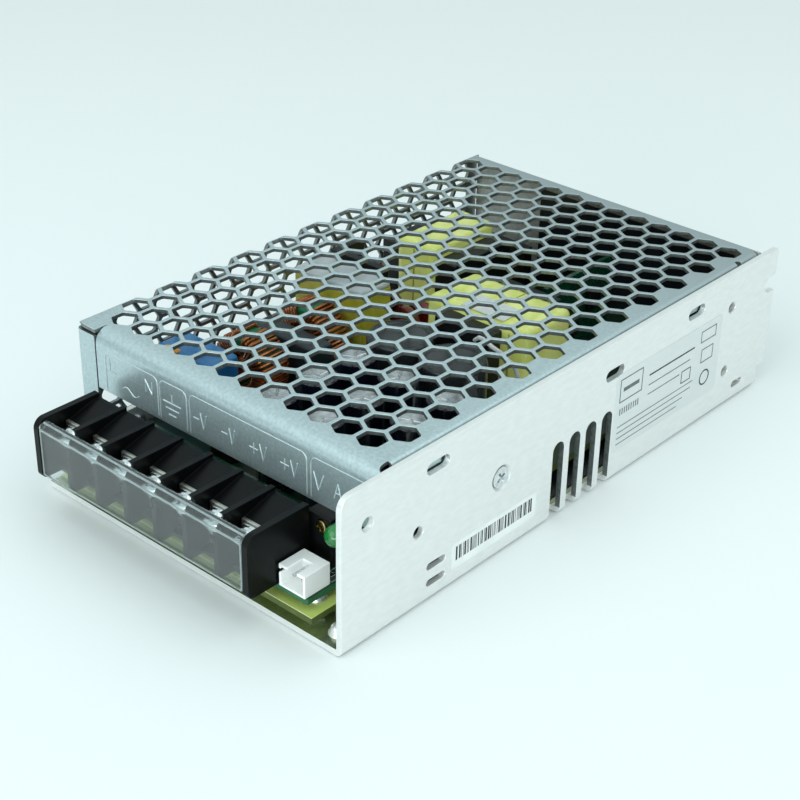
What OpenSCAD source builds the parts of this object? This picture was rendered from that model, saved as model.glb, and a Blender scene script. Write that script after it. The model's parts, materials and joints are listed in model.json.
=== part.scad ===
// Enclosed switching power supply with a perforated cover.
// Working coordinates inside the modules: x runs from the front edge of the
// case to the rear, y from the outside of the side plate to the mesh side,
// z up from the underside. place() moves them to the part's own frame, whose
// origin is the middle of the underside of the whole unit.

/* [Case] */
// Length of the sheet-metal case
case_l = 159; // [156:1:162]
// Width over side plate and mesh side
case_w = 97; // [96:0.5:98]
// Height of the side plate
case_h = 38; // [37:0.5:39]
// Thickness of the aluminium chassis
chassis_t = 1.5; // [1.2:0.1:1.6]
// Thickness of the steel cover
cover_t = 1.0; // [0.8:0.1:1.2]
// Height of the cover's top face
cover_h = 37.1; // [36.5:0.1:37.4]
// Pitch of the hexagonal holes
hex_pitch = 7.0; // [6.8:0.05:7.05]
// Hole size across flats
hex_af = 6.0; // [4.5:0.1:6.2]
// Rows of holes along the case
hex_rows = 22; // [10:1:22]

/* [Terminal block] */
// Number of poles
poles = 7; // [3:1:7]
// Pole pitch
pole_pitch = 9.5; // [9.5:0.1:9.5]
// Height of the block's top above the underside
tb_top = 23.9; // [23:0.1:25]
// How far the block stands in front of the case
tb_front = 7.4; // [6.5:0.1:8.5]
// Radius of the cover's hinge pins
hinge_pin_r = 0.80; // [0.6:0.05:0.9]
// Radial clearance of the hinge pins
hinge_gap = 0.06; // [0.02:0.01:0.1]

/* [Boards] */
// Height of the main board's top face
pcb_z = 5.5; // [5:0.1:6]
// Board thickness
pcb_t = 1.6; // [1.6:0.1:1.6]
// Height of the terminal board's top face
tbpcb_z = 8.8; // [8.8:0.1:9]

/* [Hidden] */
$fn = 40;

label_t = 0.12;
xc = (case_l - tb_front) / 2;
tb_y0 = 18.8;
tb_w = poles * pole_pitch + 2;
function pole_y(k) = tb_y0 + 1 + pole_pitch * (k + 0.5);
hx = hex_pitch * sqrt(3) / 2;
hex_x0 = 22;
hex_y0 = 33.3;
cov_x0 = 13.5;
cov_x1 = 156.2;
cov_y0 = 2.8;
cov_r = 1.6;
lip_r = 3.6;
lip_z = 22.3;
cov_yf = case_w - cov_r;
wall_zf = cover_h - cov_r;
bend = 1.73;
hinge_x = -5.7;
hinge_z = 22.2;
// rows of holes in line with the cover screws
screw_rows = [1, 19];
standoffs = [[6.2, 13.2], [80.5, 64], [150, 13.2], [150, 89.5]];
bottom_holes = [[22, 26], [22, 82], [138, 26], [138, 82]];
comp = pcb_z;

module place() { translate([-xc, -(case_w - label_t) / 2, 0]) children(); }
// box given by its two corners
module bx(a, b) { translate(a) cube([b[0] - a[0], b[1] - a[1], b[2] - a[2]]); }
module cyl_x(x0, x1, y, z, r) {
    translate([x0, y, z]) rotate([0, 90, 0]) cylinder(h = x1 - x0, r = r);
}
module cyl_y(y0, y1, x, z, r) {
    translate([x, y0, z]) rotate([-90, 0, 0]) cylinder(h = y1 - y0, r = r);
}
module cyl_z(x, y, z0, z1, r) { translate([x, y, z0]) cylinder(h = z1 - z0, r = r); }
// profile drawn in (y, z), run along x
module run_x(x0, x1) {
    translate([x0, 0, 0]) rotate([90, 0, 90]) linear_extrude(height = x1 - x0) children();
}
// profile drawn in (x, z), run along y
module run_y(y0, y1) {
    translate([0, y1, 0]) rotate([90, 0, 0]) linear_extrude(height = y1 - y0) children();
}
// quarter ring, centre at the origin, in the +x +y quadrant
module quarter(ro, ri) {
    intersection() { difference() { circle(r = ro); circle(r = ri); } square(ro + 1); }
}
module obround(l, w) {
    translate([-(l - w) / 2, 0]) circle(d = w);
    translate([(l - w) / 2, 0]) circle(d = w);
    square([l - w, w], center = true);
}
module hexagon() { circle(r = hex_af / sqrt(3), $fn = 6); }

// ---------------------------------------------------------------- case
module side_outline() {
    r = 3.0;
    difference() {
        union() {
            translate([0, 1.2]) square([case_l, case_h - 1.2 - r]);
            translate([r, 1.2]) square([case_l - r - 1, case_h - 1.2]);
            translate([case_l - 6, 12]) square([6, case_h - 13]);
            translate([r, case_h - r]) circle(r = r);
            translate([case_l - 1, case_h - 1]) circle(r = 1);
        }
        // corner cut at the rear foot
        polygon([[case_l - 3.6, 0], [case_l + 1, 0], [case_l + 1, 5.6], [case_l, 5.6]]);
        // open fixing notch in the rear edge
        translate([case_l - 2.3, 28.6]) circle(d = 4.3);
        translate([case_l - 2.3, 26.45]) square([5, 4.3]);
        // slots for the cover's lugs
        translate([28.7, 33.1]) obround(7.1, 2.9);
        translate([90.2, 29.6]) obround(7.1, 2.9);
        translate([122.9, 33.1]) obround(7.1, 2.9);
        // small slots over the foot
        translate([28.8, 8.9]) obround(6.0, 1.7);
        translate([28.8, 4.7]) obround(6.0, 1.7);
        translate([146, 4.6]) obround(5.0, 1.7);
        // four vent slots that run down into the fold
        for (k = [0:3]) translate([70.1 + 6.1 * k, 0]) {
            translate([0, 18.1]) circle(d = 4);
            translate([-2, -1]) square([4, 19.1]);
        }
        // threaded fixing holes and the clear hole
        translate([22.9, 19.3]) circle(r = 1.6);
        translate([139.3, 28.3]) circle(r = 1.6);
        translate([139.3, 10.5]) circle(r = 1.6);
        translate([7.6, 28.9]) circle(r = 1.7);
        // countersunk screw of the heatsink
        translate([49.8, 20.2]) circle(r = 1.65);
    }
}
module floor_outline() {
    difference() {
        translate([0, 1.2]) square([case_l - 3.6, 93.6 - 1.2]);
        for (k = [0:3]) translate([70.1 + 6.1 * k - 2, 0]) square([4, 3.0]);
        for (p = standoffs) translate(p) circle(r = 1.25);
        for (p = bottom_holes) translate(p) circle(r = 1.6);
        translate([-1, 94.4]) square([15, 3]);
    }
}
module chassis() {
    color([0.88, 0.90, 0.90]) place() difference() {
        union() {
            translate([0, chassis_t, 0]) rotate([90, 0, 0]) linear_extrude(height = chassis_t) side_outline();
            linear_extrude(height = chassis_t) floor_outline();
            // fold between floor and side plate, broken by the vents
            for (s = [[0, 68.1], [72.1, 74.2], [78.2, 80.3], [84.4 - 0.1, 86.4], [90.4, case_l - 3.6]])
                run_x(s[0], s[1]) translate([1.2, 1.2]) mirror([1, 0]) mirror([0, 1]) quarter(1.2, 0.1);
            // low flange along the mesh side
            run_x(16, 152) translate([94.4, 0]) {
                translate([-0.8, 0]) square([0.0001 + 0.01, chassis_t]);
                translate([0, 1.5]) square([chassis_t, 8.0]);
                mirror([0, 1]) translate([0, -1.5]) quarter(1.5, 0.01);
            }
            bx([16, 93.55, 0], [152, 94.42, chassis_t]);
        }
        // countersink for the heatsink screw
        translate([49.8, -0.01, 20.2]) rotate([-90, 0, 0]) cylinder(h = 1.3, r1 = 3.1, r2 = 1.65);
        // holes in the low flange for the cover screws
        for (n = screw_rows) cyl_y(94, 97, hex_x0 + n * hx, 5.5, 1.25);
    }
}
module hex_top() {
    for (n = [0:hex_rows - 1]) {
        odd = n % 2;
        for (k = [(odd == 1 ? -3.5 : -3):1:(odd == 1 ? 8.5 : 8)])
            translate([hex_x0 + n * hx, hex_y0 + k * hex_pitch]) hexagon();
        if (odd == 0 && n > 0) translate([hex_x0 + n * hx, hex_y0 + 9 * hex_pitch]) hexagon();
    }
}
module hex_side() {
    for (n = [0:hex_rows - 1]) {
        odd = n % 2;
        for (k = [(odd == 1 ? 9.5 : 9):1:(odd == 1 ? 12.5 : 13)])
            if (!(n == 0 && k == 9))
                translate([hex_x0 + n * hx,
                    wall_zf - (hex_y0 + k * hex_pitch - cov_yf - bend)]) hexagon();
    }
}
module mesh_cover() {
    t = cover_t;
    color([0.62, 0.67, 0.69]) place() difference() {
        union() {
            // top sheet
            translate([0, 0, cover_h - t]) linear_extrude(height = t) difference() {
                union() {
                    translate([cov_x0 + lip_r, cov_y0]) square([cov_x1 - cov_r - cov_x0 - lip_r, cov_yf - cov_y0]);
                    translate([cov_x0 + 1.2, 90.2]) square([lip_r, cov_yf - 90.2]);
                }
                hex_top();
            }
            // mesh side wall
            translate([0, case_w, 0]) rotate([90, 0, 0]) linear_extrude(height = t) difference() {
                translate([cov_x0 + cov_r, 1.2]) square([cov_x1 - cov_x0 - cov_r, wall_zf - 1.2]);
                hex_side();
            }
            // fold over the mesh side, open where a hole crosses it
            run_x(cov_x0 + 1.2, hex_x0 + 2 * hx - 3.2) translate([cov_yf, wall_zf]) quarter(cov_r, cov_r - t);
            for (n = [2:2:hex_rows - 3])
                run_x(hex_x0 + n * hx + 3.2, hex_x0 + (n + 2) * hx - 3.2) translate([cov_yf, wall_zf]) quarter(cov_r, cov_r - t);
            run_x(hex_x0 + (hex_rows - 2) * hx + 3.2, cov_x1) translate([cov_yf, wall_zf]) quarter(cov_r, cov_r - t);
            // front lip with its wide fold
            run_y(cov_y0, 90.0) translate([cov_x0 + lip_r, cover_h - lip_r]) mirror([1, 0]) quarter(lip_r, lip_r - t);
            bx([cov_x0, cov_y0, lip_z], [cov_x0 + t, 90.0, cover_h - lip_r]);
            // corner post folded in from the mesh side
            bx([cov_x0, 90.4, 1.8], [cov_x0 + t, cov_yf, 35.4]);
            translate([cov_x0 + cov_r, cov_yf, 1.8]) linear_extrude(height = 33.6) mirror([1, 0]) quarter(cov_r, cov_r - t);
            // rear wall
            bx([cov_x1 - t, cov_y0, 1.8], [cov_x1, cov_yf, cover_h - cov_r]);
            run_y(cov_y0, cov_yf + 0.0) translate([cov_x1 - cov_r, cover_h - cov_r]) quarter(cov_r, cov_r - t);
            translate([cov_x1 - cov_r, cov_yf, 1.8]) linear_extrude(height = cover_h - cov_r - 1.8) quarter(cov_r, cov_r - t);
            // edge flange along the side plate, with lugs behind the slots
            bx([18, cov_y0, 30.6], [154, cov_y0 + t, cover_h - t]);
            for (x = [28.7, 122.9]) bx([x - 2.8, 1.6, 31.9], [x + 2.8, cov_y0 + 0.1, 34.3]);
        }
        // relief notches beside the side plate
        translate([16.2, cov_y0 - 0.2, 30]) cylinder(h = 9, r = 1.2);
        translate([146, cov_y0 - 0.3, 35]) cylinder(h = 4, r = 0.9);
        // countersunk holes of the cover screws
        for (n = screw_rows) {
            cyl_y(95, 98, hex_x0 + n * hx, 5.5, 1.7);
            translate([hex_x0 + n * hx, case_w + 0.01, 5.5]) rotate([90, 0, 0]) cylinder(h = 0.95, r1 = 2.65, r2 = 1.7);
        }
    }
}
// countersunk screw lying along y, head face at y = 0, pointing +y
module csk(head_r, r, len, head_h) {
    difference() {
        rotate([-90, 0, 0]) rotate_extrude() polygon([[0, 0], [head_r, 0], [head_r, 0.25], [r, head_h], [r, len], [0, len]]);
        for (a = [0, 90]) rotate([0, a, 0]) translate([-head_r * 0.52, -0.01, -0.28]) cube([head_r * 1.04, head_h * 0.6, 0.56]);
    }
}
module cover_screws() {
    color([0.75, 0.76, 0.74]) place()
        for (n = screw_rows) translate([hex_x0 + n * hx, case_w - 0.02, 5.5]) rotate([0, 0, 180]) csk(2.2, 1.2, 3.6, 1.0);
}
module heatsink_screws() {
    color([0.80, 0.80, 0.76]) place() translate([49.8, 0.12, 20.2]) csk(2.55, 1.45, 5.6, 1.3);
}
module insulation_sheet() {
    color([0.20, 0.21, 0.22]) place() difference() {
        union() {
            bx([24, 4, chassis_t], [152, 92, chassis_t + 0.4]);
            // rear flap turned up in front of the cover's rear wall
            bx([151.9, 10, chassis_t], [155.05, 72, chassis_t + 0.4]);
            bx([154.75, 10, chassis_t], [155.05, 72, 34]);
        }
        for (p = standoffs) cyl_z(p[0], p[1], 1, 3, 3.6);
        for (p = bottom_holes) cyl_z(p[0], p[1], 1, 3, 3);
    }
}

// ---------------------------------------------------------------- boards
module main_board() {
    color([0.62, 0.68, 0.30]) place() difference() {
        bx([0.3, 8.6, pcb_z - pcb_t], [154.6, 93.0, pcb_z]);
        for (p = standoffs) cyl_z(p[0], p[1], 0, 9, 1.6);
        // corner clear of the cover's post
        bx([-1, 88.6, 2], [15.2, 96, 9]);
    }
}
module board_standoffs() {
    color([0.80, 0.81, 0.80]) place() for (p = standoffs) difference() {
        union() {
            cyl_z(p[0], p[1], chassis_t, pcb_z - pcb_t, 2.6);
        }
        cyl_z(p[0], p[1], 1, 9, 1.3);
    }
}
module board_screws() {
    color([0.82, 0.82, 0.80]) place() for (p = standoffs) difference() {
        translate([p[0], p[1], 0]) rotate_extrude() polygon([[0, 2.2], [1.25, 2.2], [1.25, pcb_z], [2.6, pcb_z], [2.6, pcb_z + 0.7], [2.1, pcb_z + 1.35], [0, pcb_z + 1.6]]);
        for (a = [0, 90]) translate([p[0], p[1], pcb_z + 1.3]) rotate([0, 0, a]) cube([3.0, 0.6, 1.4], center = true);
    }
}
module terminal_board() {
    color([0.05, 0.33, 0.20]) place() bx([1.2, 10.6, tbpcb_z - pcb_t], [26, 88.2, tbpcb_z]);
}
module board_spacers() {
    color([0.08, 0.08, 0.08]) place() for (y = [20, 44, 78]) bx([14, y, pcb_z], [16.5, y + 10, tbpcb_z - pcb_t]);
}
module control_board() {
    color([0.03, 0.26, 0.25]) place() bx([118, 41, comp], [146, 42.2, 27]);
}
module control_ics() {
    color([0.07, 0.07, 0.08]) place() {
        bx([121, 39.5, 10], [131, 41, 14]);
        bx([135, 39.5, 15], [140, 41, 21]);
        bx([123, 42.2, 17], [129, 43.8, 22]);
    }
}

// ---------------------------------------------------------------- terminal block
module tb_end_outline() {
    // front top corner rounded about the hinge
    difference() {
        union() {
            translate([-tb_front, 10.4]) square([10.2 + tb_front, tb_top - 10.4 - 2.6]);
            translate([-tb_front + 2.6, 8.8]) square([10.2 + tb_front - 2.6, tb_top - 8.8]);
            translate([-tb_front + 2.6, tb_top - 2.6]) circle(r = 2.6);
            translate([-tb_front + 1.6, 10.4]) circle(r = 1.6);
            translate([-tb_front + 1.6, 8.8]) square([3, 2]);
        }
        translate([hinge_x, hinge_z]) circle(r = hinge_pin_r + hinge_gap);
    }
}
module tb_rib_outline() {
    difference() {
        union() {
            translate([-5.9, 10.4]) square([16.1, tb_top - 10.4]);
            translate([-4.3, 8.8]) square([14.5, 3]);
            translate([-4.3, 10.4]) circle(r = 1.6);
        }
        translate([hinge_x, hinge_z]) circle(r = 2.1);
        translate([-7, hinge_z]) square([2.4, 3]);
    }
}
module terminal_block() {
    color([0.045, 0.045, 0.05]) place() difference() {
        union() {
            // end walls
            run_y(tb_y0, tb_y0 + 1.7) tb_end_outline();
            run_y(tb_y0 + tb_w - 1.7, tb_y0 + tb_w) tb_end_outline();
            // ribs between the poles
            for (k = [1:poles - 1]) run_y(tb_y0 + 1 + pole_pitch * k - 0.7, tb_y0 + 1 + pole_pitch * k + 0.7) tb_rib_outline();
            // body with a sloping top and a front ledge
            run_y(tb_y0 + 0.5, tb_y0 + tb_w - 0.5) polygon([[0.8, 8.8], [10.2, 8.8], [10.2, 22.9], [8.6, 22.9], [0.8, 20.7]]);
            run_y(tb_y0 + 0.5, tb_y0 + tb_w - 0.5) polygon([[-2.0, 9.2], [0.9, 9.2], [0.9, 10.5], [-2.0, 10.5]]);
        }
        // seats for the screws
        for (k = [0:poles - 1]) cyl_x(0.5, 7.2, pole_y(k), 18.4, 1.78);
    }
}
module terminal_plates() {
    color([0.78, 0.76, 0.68]) place() for (k = [0:poles - 1]) difference() {
        bx([-0.2, pole_y(k) - 3.6, 11.2], [0.8, pole_y(k) + 3.6, 21.3]);
        cyl_x(-1, 2, pole_y(k), 18.4, 1.78);
    }
}
module wire_clamps() {
    color([0.80, 0.80, 0.78]) place() for (k = [0:poles - 1]) difference() {
        bx([-0.9, pole_y(k) - 3.2, 15.3], [-0.2, pole_y(k) + 3.2, 21.5]);
        cyl_x(-2, 1, pole_y(k), 18.4, 1.78);
    }
}
module terminal_screws() {
    color([0.80, 0.79, 0.74]) place() for (k = [0:poles - 1]) translate([0, pole_y(k), 18.4]) difference() {
        rotate([0, 90, 0]) rotate_extrude() polygon([[0, -2.9], [2.5, -2.9], [3.05, -2.2], [3.05, -0.9], [1.7, -0.9], [1.7, 6.6], [0, 6.6]]);
        translate([-2.55, 0, 0]) cube([1.0, 5.2, 0.75], center = true);
        translate([-2.55, 0, 0]) cube([1.0, 0.75, 3.4], center = true);
    }
}
module terminal_cover() {
    y0 = tb_y0 + 2.0;
    y1 = tb_y0 + tb_w - 2.0;
    color([0.80, 0.85, 0.86, 0.35]) place() {
        run_y(y0, y1) union() {
            translate([hinge_x, hinge_z]) circle(r = 1.3);
            translate([-tb_front, 10.0]) square([1.2, hinge_z - 10.0]);
            translate([-tb_front + 1.1, hinge_z]) circle(r = 1.1);
            translate([-tb_front, hinge_z - 1.3]) square([1.7, 1.3]);
        }
        for (y = [tb_y0 + 0.3, y1 - 0.01]) cyl_y(y, y + 1.71, hinge_x, hinge_z, hinge_pin_r);
    }
}

// ---------------------------------------------------------------- front parts
module header_housing() {
    color([0.93, 0.93, 0.90]) place() difference() {
        bx([0.7, 10.9, tbpcb_z], [8.2, 18.4, 14.3]);
        bx([0.5, 11.5, tbpcb_z + 0.6], [7.0, 17.8, 13.6]);
        bx([0.5, 13.2, 13], [5.4, 15.9, 15]);
        bx([0.5, 17, 12.2], [3.0, 19, 13.1]);
    }
}
module header_pins() {
    color([0.80, 0.78, 0.70]) place() for (y = [13.4, 15.9]) bx([2.4, y - 0.32, 11.2], [7.0, y + 0.32, 11.84]);
}
module status_led() {
    color([0.10, 0.55, 0.20]) place() union() {
        cyl_x(10.4, 14.6, 11.4, 19.4, 2.5);
        cyl_x(14.6, 15.6, 11.4, 19.4, 2.9);
        translate([10.4, 11.4, 19.4]) sphere(r = 2.5);
        bx([15.6, 11.8, tbpcb_z], [16.2, 12.4, 20.4]);
        bx([15.6, 13.4, tbpcb_z], [16.2, 14.0, 20.0]);
    }
}
module trimmer_body() {
    color([0.06, 0.06, 0.07]) place() difference() {
        bx([12.2, 14.6, tbpcb_z], [17.0, 21.4, 20.6]);
        cyl_x(11, 14.5, 17.2, 18.2, 1.65);
    }
}
module trimmer_screw() {
    color([0.80, 0.72, 0.45]) place() difference() {
        cyl_x(11.6, 14.4, 17.2, 18.2, 1.6);
        translate([11.7, 17.2, 18.2]) cube([1.0, 4, 0.55], center = true);
    }
}

// ---------------------------------------------------------------- power parts
module can(x, y, r, h) {
    translate([x, y, comp]) rotate_extrude() polygon([[0, 0], [r, 0], [r, h - 0.6], [r - 0.6, h], [r - 1.4, h], [r - 1.6, h - 0.25], [0, h - 0.25]]);
}
module line_capacitor() {
    color([0.14, 0.36, 0.72]) place() bx([34.2, 75.4, comp], [44.2, 94.1, 24.5]);
}
module filter_capacitor() {
    color([0.26, 0.31, 0.34]) place() bx([59.5, 66, comp], [66.3, 88, 22.5]);
}
module film_capacitor() {
    color([0.70, 0.72, 0.34]) place() {
        bx([79.5, 69, comp], [90.5, 92.6, 29.8]);
    }
}
// toroid standing on edge, axis along x
module ring_x(x0, x1, y, z, ro, ri) {
    translate([x0, y, z]) rotate([0, 90, 0]) rotate_extrude() translate([ri, 0]) square([ro - ri, x1 - x0]);
}
// sector of winding round that toroid's core, which it encloses
module wire_x(x0, x1, y, z, ro, ri, a0, a1) {
    translate([x0, y, z]) rotate([0, 90, 0]) rotate([0, 0, a0])
        rotate_extrude(angle = a1 - a0) difference() {
            translate([ri, 0]) square([ro - ri, x1 - x0]);
            translate([ri + 1.2, 1.2]) square([ro - ri - 2.4, x1 - x0 - 2.4]);
        }
}
module choke_bases() {
    color([0.10, 0.10, 0.11]) place() {
        difference() {
            bx([46.4, 70, comp], [57.6, 89.6, 10]);
            cyl_x(46, 58, 79.8, 17.0, 9.6);
        }
        difference() {
            bx([67.4, 70, comp], [78.4, 89.8, 10]);
            cyl_x(67, 79, 80, 17.2, 9.6);
        }
    }
}
module line_choke_core() {
    color([0.06, 0.42, 0.22]) place() ring_x(48.2, 55.8, 79.8, 17.0, 8.3, 4.9);
}
module line_choke_winding() {
    color([0.66, 0.36, 0.16]) place() {
        wire_x(47, 57, 79.8, 17.0, 9.5, 3.7, -170, -10);
        wire_x(47, 57, 79.8, 17.0, 9.5, 3.7, 10, 170);
    }
}
module filter_choke_core() {
    color([0.06, 0.42, 0.22]) place() ring_x(69.2, 76.8, 80, 17.2, 8.3, 4.6);
}
module filter_choke_winding() {
    color([0.66, 0.36, 0.16]) place() {
        wire_x(68, 78, 80, 17.2, 9.5, 3.4, -160, -20);
        wire_x(68, 78, 80, 17.2, 9.5, 3.4, 20, 160);
    }
}
module bulk_capacitors() {
    color([0.20, 0.21, 0.22]) place() {
        can(72.6, 49.9, 8.2, 22.8);
        can(72.0, 33.0, 8.2, 22.8);
    }
}
module output_capacitors() {
    color([0.05, 0.06, 0.09]) place()
        for (p = [[31, 49.5], [43.8, 49.2], [56.4, 49.3], [56.2, 35.6], [56, 20.8], [43.8, 20.6], [43.8, 35], [31, 35]])
            can(p[0], p[1], 5, 23.5);
}
module disc_capacitors() {
    color([0.35, 0.07, 0.06]) place() {
        cyl_x(100.5, 103.5, 80, 14.8, 4.6);
        bx([101.2, 76.8, comp], [102.8, 83.2, 11.8]);
        cyl_x(94.5, 97.5, 68.6, 15.8, 4.6);
        bx([95.2, 65.4, comp], [96.8, 71.8, 12.8]);
        cyl_x(101.0, 104.0, 69.2, 14.8, 4.6);
        bx([101.7, 66.0, comp], [103.3, 72.4, 11.8]);
    }
}
module line_fuse() {
    color([0.15, 0.13, 0.12]) place() cyl_z(31.4, 67, comp, 13.5, 4.2);
}
module bridge_rectifier() {
    color([0.06, 0.06, 0.07]) place() bx([141, 66, comp], [144.4, 86, 22]);
}
module boost_core_solid() {
    // two yokes joined by a centre leg and two thin outer legs
    bx([112.5, 66.8, 6.5], [135.5, 73.2, 26.5]);
    bx([112.5, 86.3, 6.5], [135.5, 92.2, 26.5]);
    bx([119, 73.1, 11], [129, 86.4, 22]);
    bx([112.5, 73.1, 7.5], [115.5, 86.4, 25.5]);
    bx([132.5, 73.1, 7.5], [135.5, 86.4, 25.5]);
}
module boost_choke_core() {
    color([0.07, 0.07, 0.08]) place() boost_core_solid();
}
module boost_choke_winding() {
    color([0.78, 0.78, 0.42]) place() difference() {
        bx([111, 73.2, comp], [137, 86.3, 30]);
        boost_core_solid();
    }
}
module transformer_core_solid() {
    // two yokes joined by a centre leg and two thin outer legs
    bx([84.5, 32.6, 6.5], [89.2, 49.6, 29.0]);
    bx([108.3, 32.6, 6.5], [113, 49.6, 29.0]);
    bx([89.1, 36, 12.5], [108.4, 46, 23.5]);
    bx([89.1, 32.6, 25.5], [108.4, 49.6, 29.0]);
    bx([89.1, 32.6, 6.5], [108.4, 49.6, 9.5]);
}
module transformer_core() {
    color([0.07, 0.07, 0.08]) place() transformer_core_solid();
}
module transformer_winding() {
    color([0.80, 0.84, 0.42]) place() difference() {
        bx([89.2, 25, comp], [108.3, 57, 31]);
        transformer_core_solid();
    }
}
module transformer_tag() {
    color([0.92, 0.93, 0.95]) place() bx([90.2, 33, 31.0], [97.6, 46, 31.15]);
}
module output_heatsink() {
    color([0.66, 0.68, 0.68]) place() difference() {
        union() {
            bx([34, chassis_t, 8], [66, 5.5, 30.2]);
            bx([34, 5.5, 8], [66, 7.5, 24]);
        }
        cyl_y(1, 9, 49.8, 20.2, 1.5);
    }
}
module output_rectifiers() {
    color([0.07, 0.07, 0.08]) place() {
        bx([36, 7.5, 8.5], [46, 12.0, 24]);
        bx([54, 7.5, 8.5], [64, 12.0, 24]);
    }
}
module line_heatsink() {
    color([0.10, 0.10, 0.11]) place() {
        bx([92.4, 74, comp], [94.8, 92.4, 30.2]);
        bx([94.8, 90, comp], [103, 92.4, 30.2]);
    }
}
module power_transistors() {
    color([0.07, 0.07, 0.08]) place() {
        bx([94.8, 77.5, 9], [99.4, 87.5, 25]);
    }
}
module rating_label() {
    color([0.80, 0.82, 0.83]) place() bx([91.0, -label_t, 7.6], [135.0, 0, 28.4]);
}
module serial_label() {
    color([0.93, 0.94, 0.94]) place() bx([33.8, -label_t, 4.2], [62.6, 0, 10.8]);
}

chassis();
mesh_cover();
cover_screws();
heatsink_screws();
insulation_sheet();
main_board();
board_standoffs();
board_screws();
terminal_board();
board_spacers();
terminal_block();
terminal_plates();
wire_clamps();
terminal_screws();
terminal_cover();
header_housing();
header_pins();
status_led();
trimmer_body();
trimmer_screw();
line_capacitor();
filter_capacitor();
film_capacitor();
choke_bases();
line_choke_core();
line_choke_winding();
filter_choke_core();
filter_choke_winding();
bulk_capacitors();
output_capacitors();
disc_capacitors();
line_fuse();
bridge_rectifier();
boost_choke_core();
boost_choke_winding();
transformer_core();
transformer_winding();
transformer_tag();
output_heatsink();
output_rectifiers();
line_heatsink();
power_transistors();
control_board();
control_ics();
rating_label();
serial_label();
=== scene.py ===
import bpy
import bmesh
import json
import math
import random
import numpy as np
from mathutils import Vector, Matrix
from mathutils.geometry import delaunay_2d_cdt

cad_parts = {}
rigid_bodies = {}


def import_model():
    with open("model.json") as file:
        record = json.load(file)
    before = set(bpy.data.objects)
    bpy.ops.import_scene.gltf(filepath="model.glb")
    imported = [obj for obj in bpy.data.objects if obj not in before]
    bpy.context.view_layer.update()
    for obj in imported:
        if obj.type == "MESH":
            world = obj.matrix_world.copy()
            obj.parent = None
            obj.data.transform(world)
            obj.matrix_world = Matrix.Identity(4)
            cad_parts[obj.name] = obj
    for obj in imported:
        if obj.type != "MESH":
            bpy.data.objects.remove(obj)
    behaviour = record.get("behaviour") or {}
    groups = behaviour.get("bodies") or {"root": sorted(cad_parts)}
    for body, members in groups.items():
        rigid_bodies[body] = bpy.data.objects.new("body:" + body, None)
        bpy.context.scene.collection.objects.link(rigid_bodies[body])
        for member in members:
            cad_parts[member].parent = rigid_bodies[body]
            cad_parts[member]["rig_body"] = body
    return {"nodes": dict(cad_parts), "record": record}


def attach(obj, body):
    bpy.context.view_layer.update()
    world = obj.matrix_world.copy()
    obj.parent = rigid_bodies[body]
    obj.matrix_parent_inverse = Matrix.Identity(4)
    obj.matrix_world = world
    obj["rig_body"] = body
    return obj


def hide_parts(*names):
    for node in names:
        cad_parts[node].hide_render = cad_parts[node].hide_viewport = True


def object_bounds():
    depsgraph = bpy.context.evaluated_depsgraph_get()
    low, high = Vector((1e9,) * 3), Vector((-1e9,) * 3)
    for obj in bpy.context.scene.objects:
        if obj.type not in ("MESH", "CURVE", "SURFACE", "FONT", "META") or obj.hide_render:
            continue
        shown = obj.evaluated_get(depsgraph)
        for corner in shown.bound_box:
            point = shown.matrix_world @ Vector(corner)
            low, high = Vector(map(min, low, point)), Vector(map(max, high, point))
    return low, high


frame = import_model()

CAD_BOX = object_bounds()
N = frame["nodes"]
MM = 0.001
OX, OY = 75.8, 48.44          # the case's own x, y in mm of the frame's origin
random.seed(7)
scene = bpy.context.scene


def P(x, y, z):
    """case millimetres to frame metres"""
    return Vector(((x - OX) * MM, (y - OY) * MM, z * MM))


# ------------------------------------------------------------------ camera
def make_camera():
    f = 1703.0125
    R = [[0.6691716399234824, -0.7429413333283136, 0.015731864303532295],
         [-0.3614843682289913, -0.34394190980638817, -0.8666216095879571],
         [0.649259861571778, 0.5742317806522745, -0.49871785033294513]]
    C = (-0.2716373159, -0.2361522453, 0.2164020286)
    cam = bpy.data.cameras.new("camera")
    ob = bpy.data.objects.new("camera", cam)
    scene.collection.objects.link(ob)
    cam.sensor_fit = "HORIZONTAL"
    cam.sensor_width = 36
    cam.lens = f * 36 / 800
    cam.clip_start = 0.01
    cam.clip_end = 20
    m = Matrix(((R[0][0], -R[1][0], -R[2][0], C[0]),
                (R[0][1], -R[1][1], -R[2][1], C[1]),
                (R[0][2], -R[1][2], -R[2][2], C[2]),
                (0, 0, 0, 1)))
    ob.matrix_world = m
    scene.camera = ob


make_camera()
scene.view_settings.view_transform = "Standard"
scene.view_settings.look = "None"


# ------------------------------------------------------------------ mesh helpers
def new_obj(name, verts, faces, mat=None, smooth=True, angle=35, weighted=True, body="case"):
    me = bpy.data.meshes.new(name)
    me.from_pydata([tuple(v) for v in verts], [], faces)
    me.validate()
    return finish_mesh(name, me, mat, smooth, angle, weighted, body)


def finish_mesh(name, me, mat=None, smooth=True, angle=35, weighted=True, body="case", recalc=True):
    if recalc:
        bm = bmesh.new()
        bm.from_mesh(me)
        bmesh.ops.recalc_face_normals(bm, faces=bm.faces)
        bm.to_mesh(me)
        bm.free()
    ob = bpy.data.objects.new(name, me)
    scene.collection.objects.link(ob)
    if smooth:
        me.polygons.foreach_set("use_smooth", [True] * len(me.polygons))
        me.set_sharp_from_angle(angle=math.radians(angle))
    if mat is not None:
        me.materials.append(mat)
    if weighted:
        w = ob.modifiers.new("wn", "WEIGHTED_NORMAL")
        w.keep_sharp = True
        w.weight = 90
    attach(ob, body)
    return ob


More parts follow.
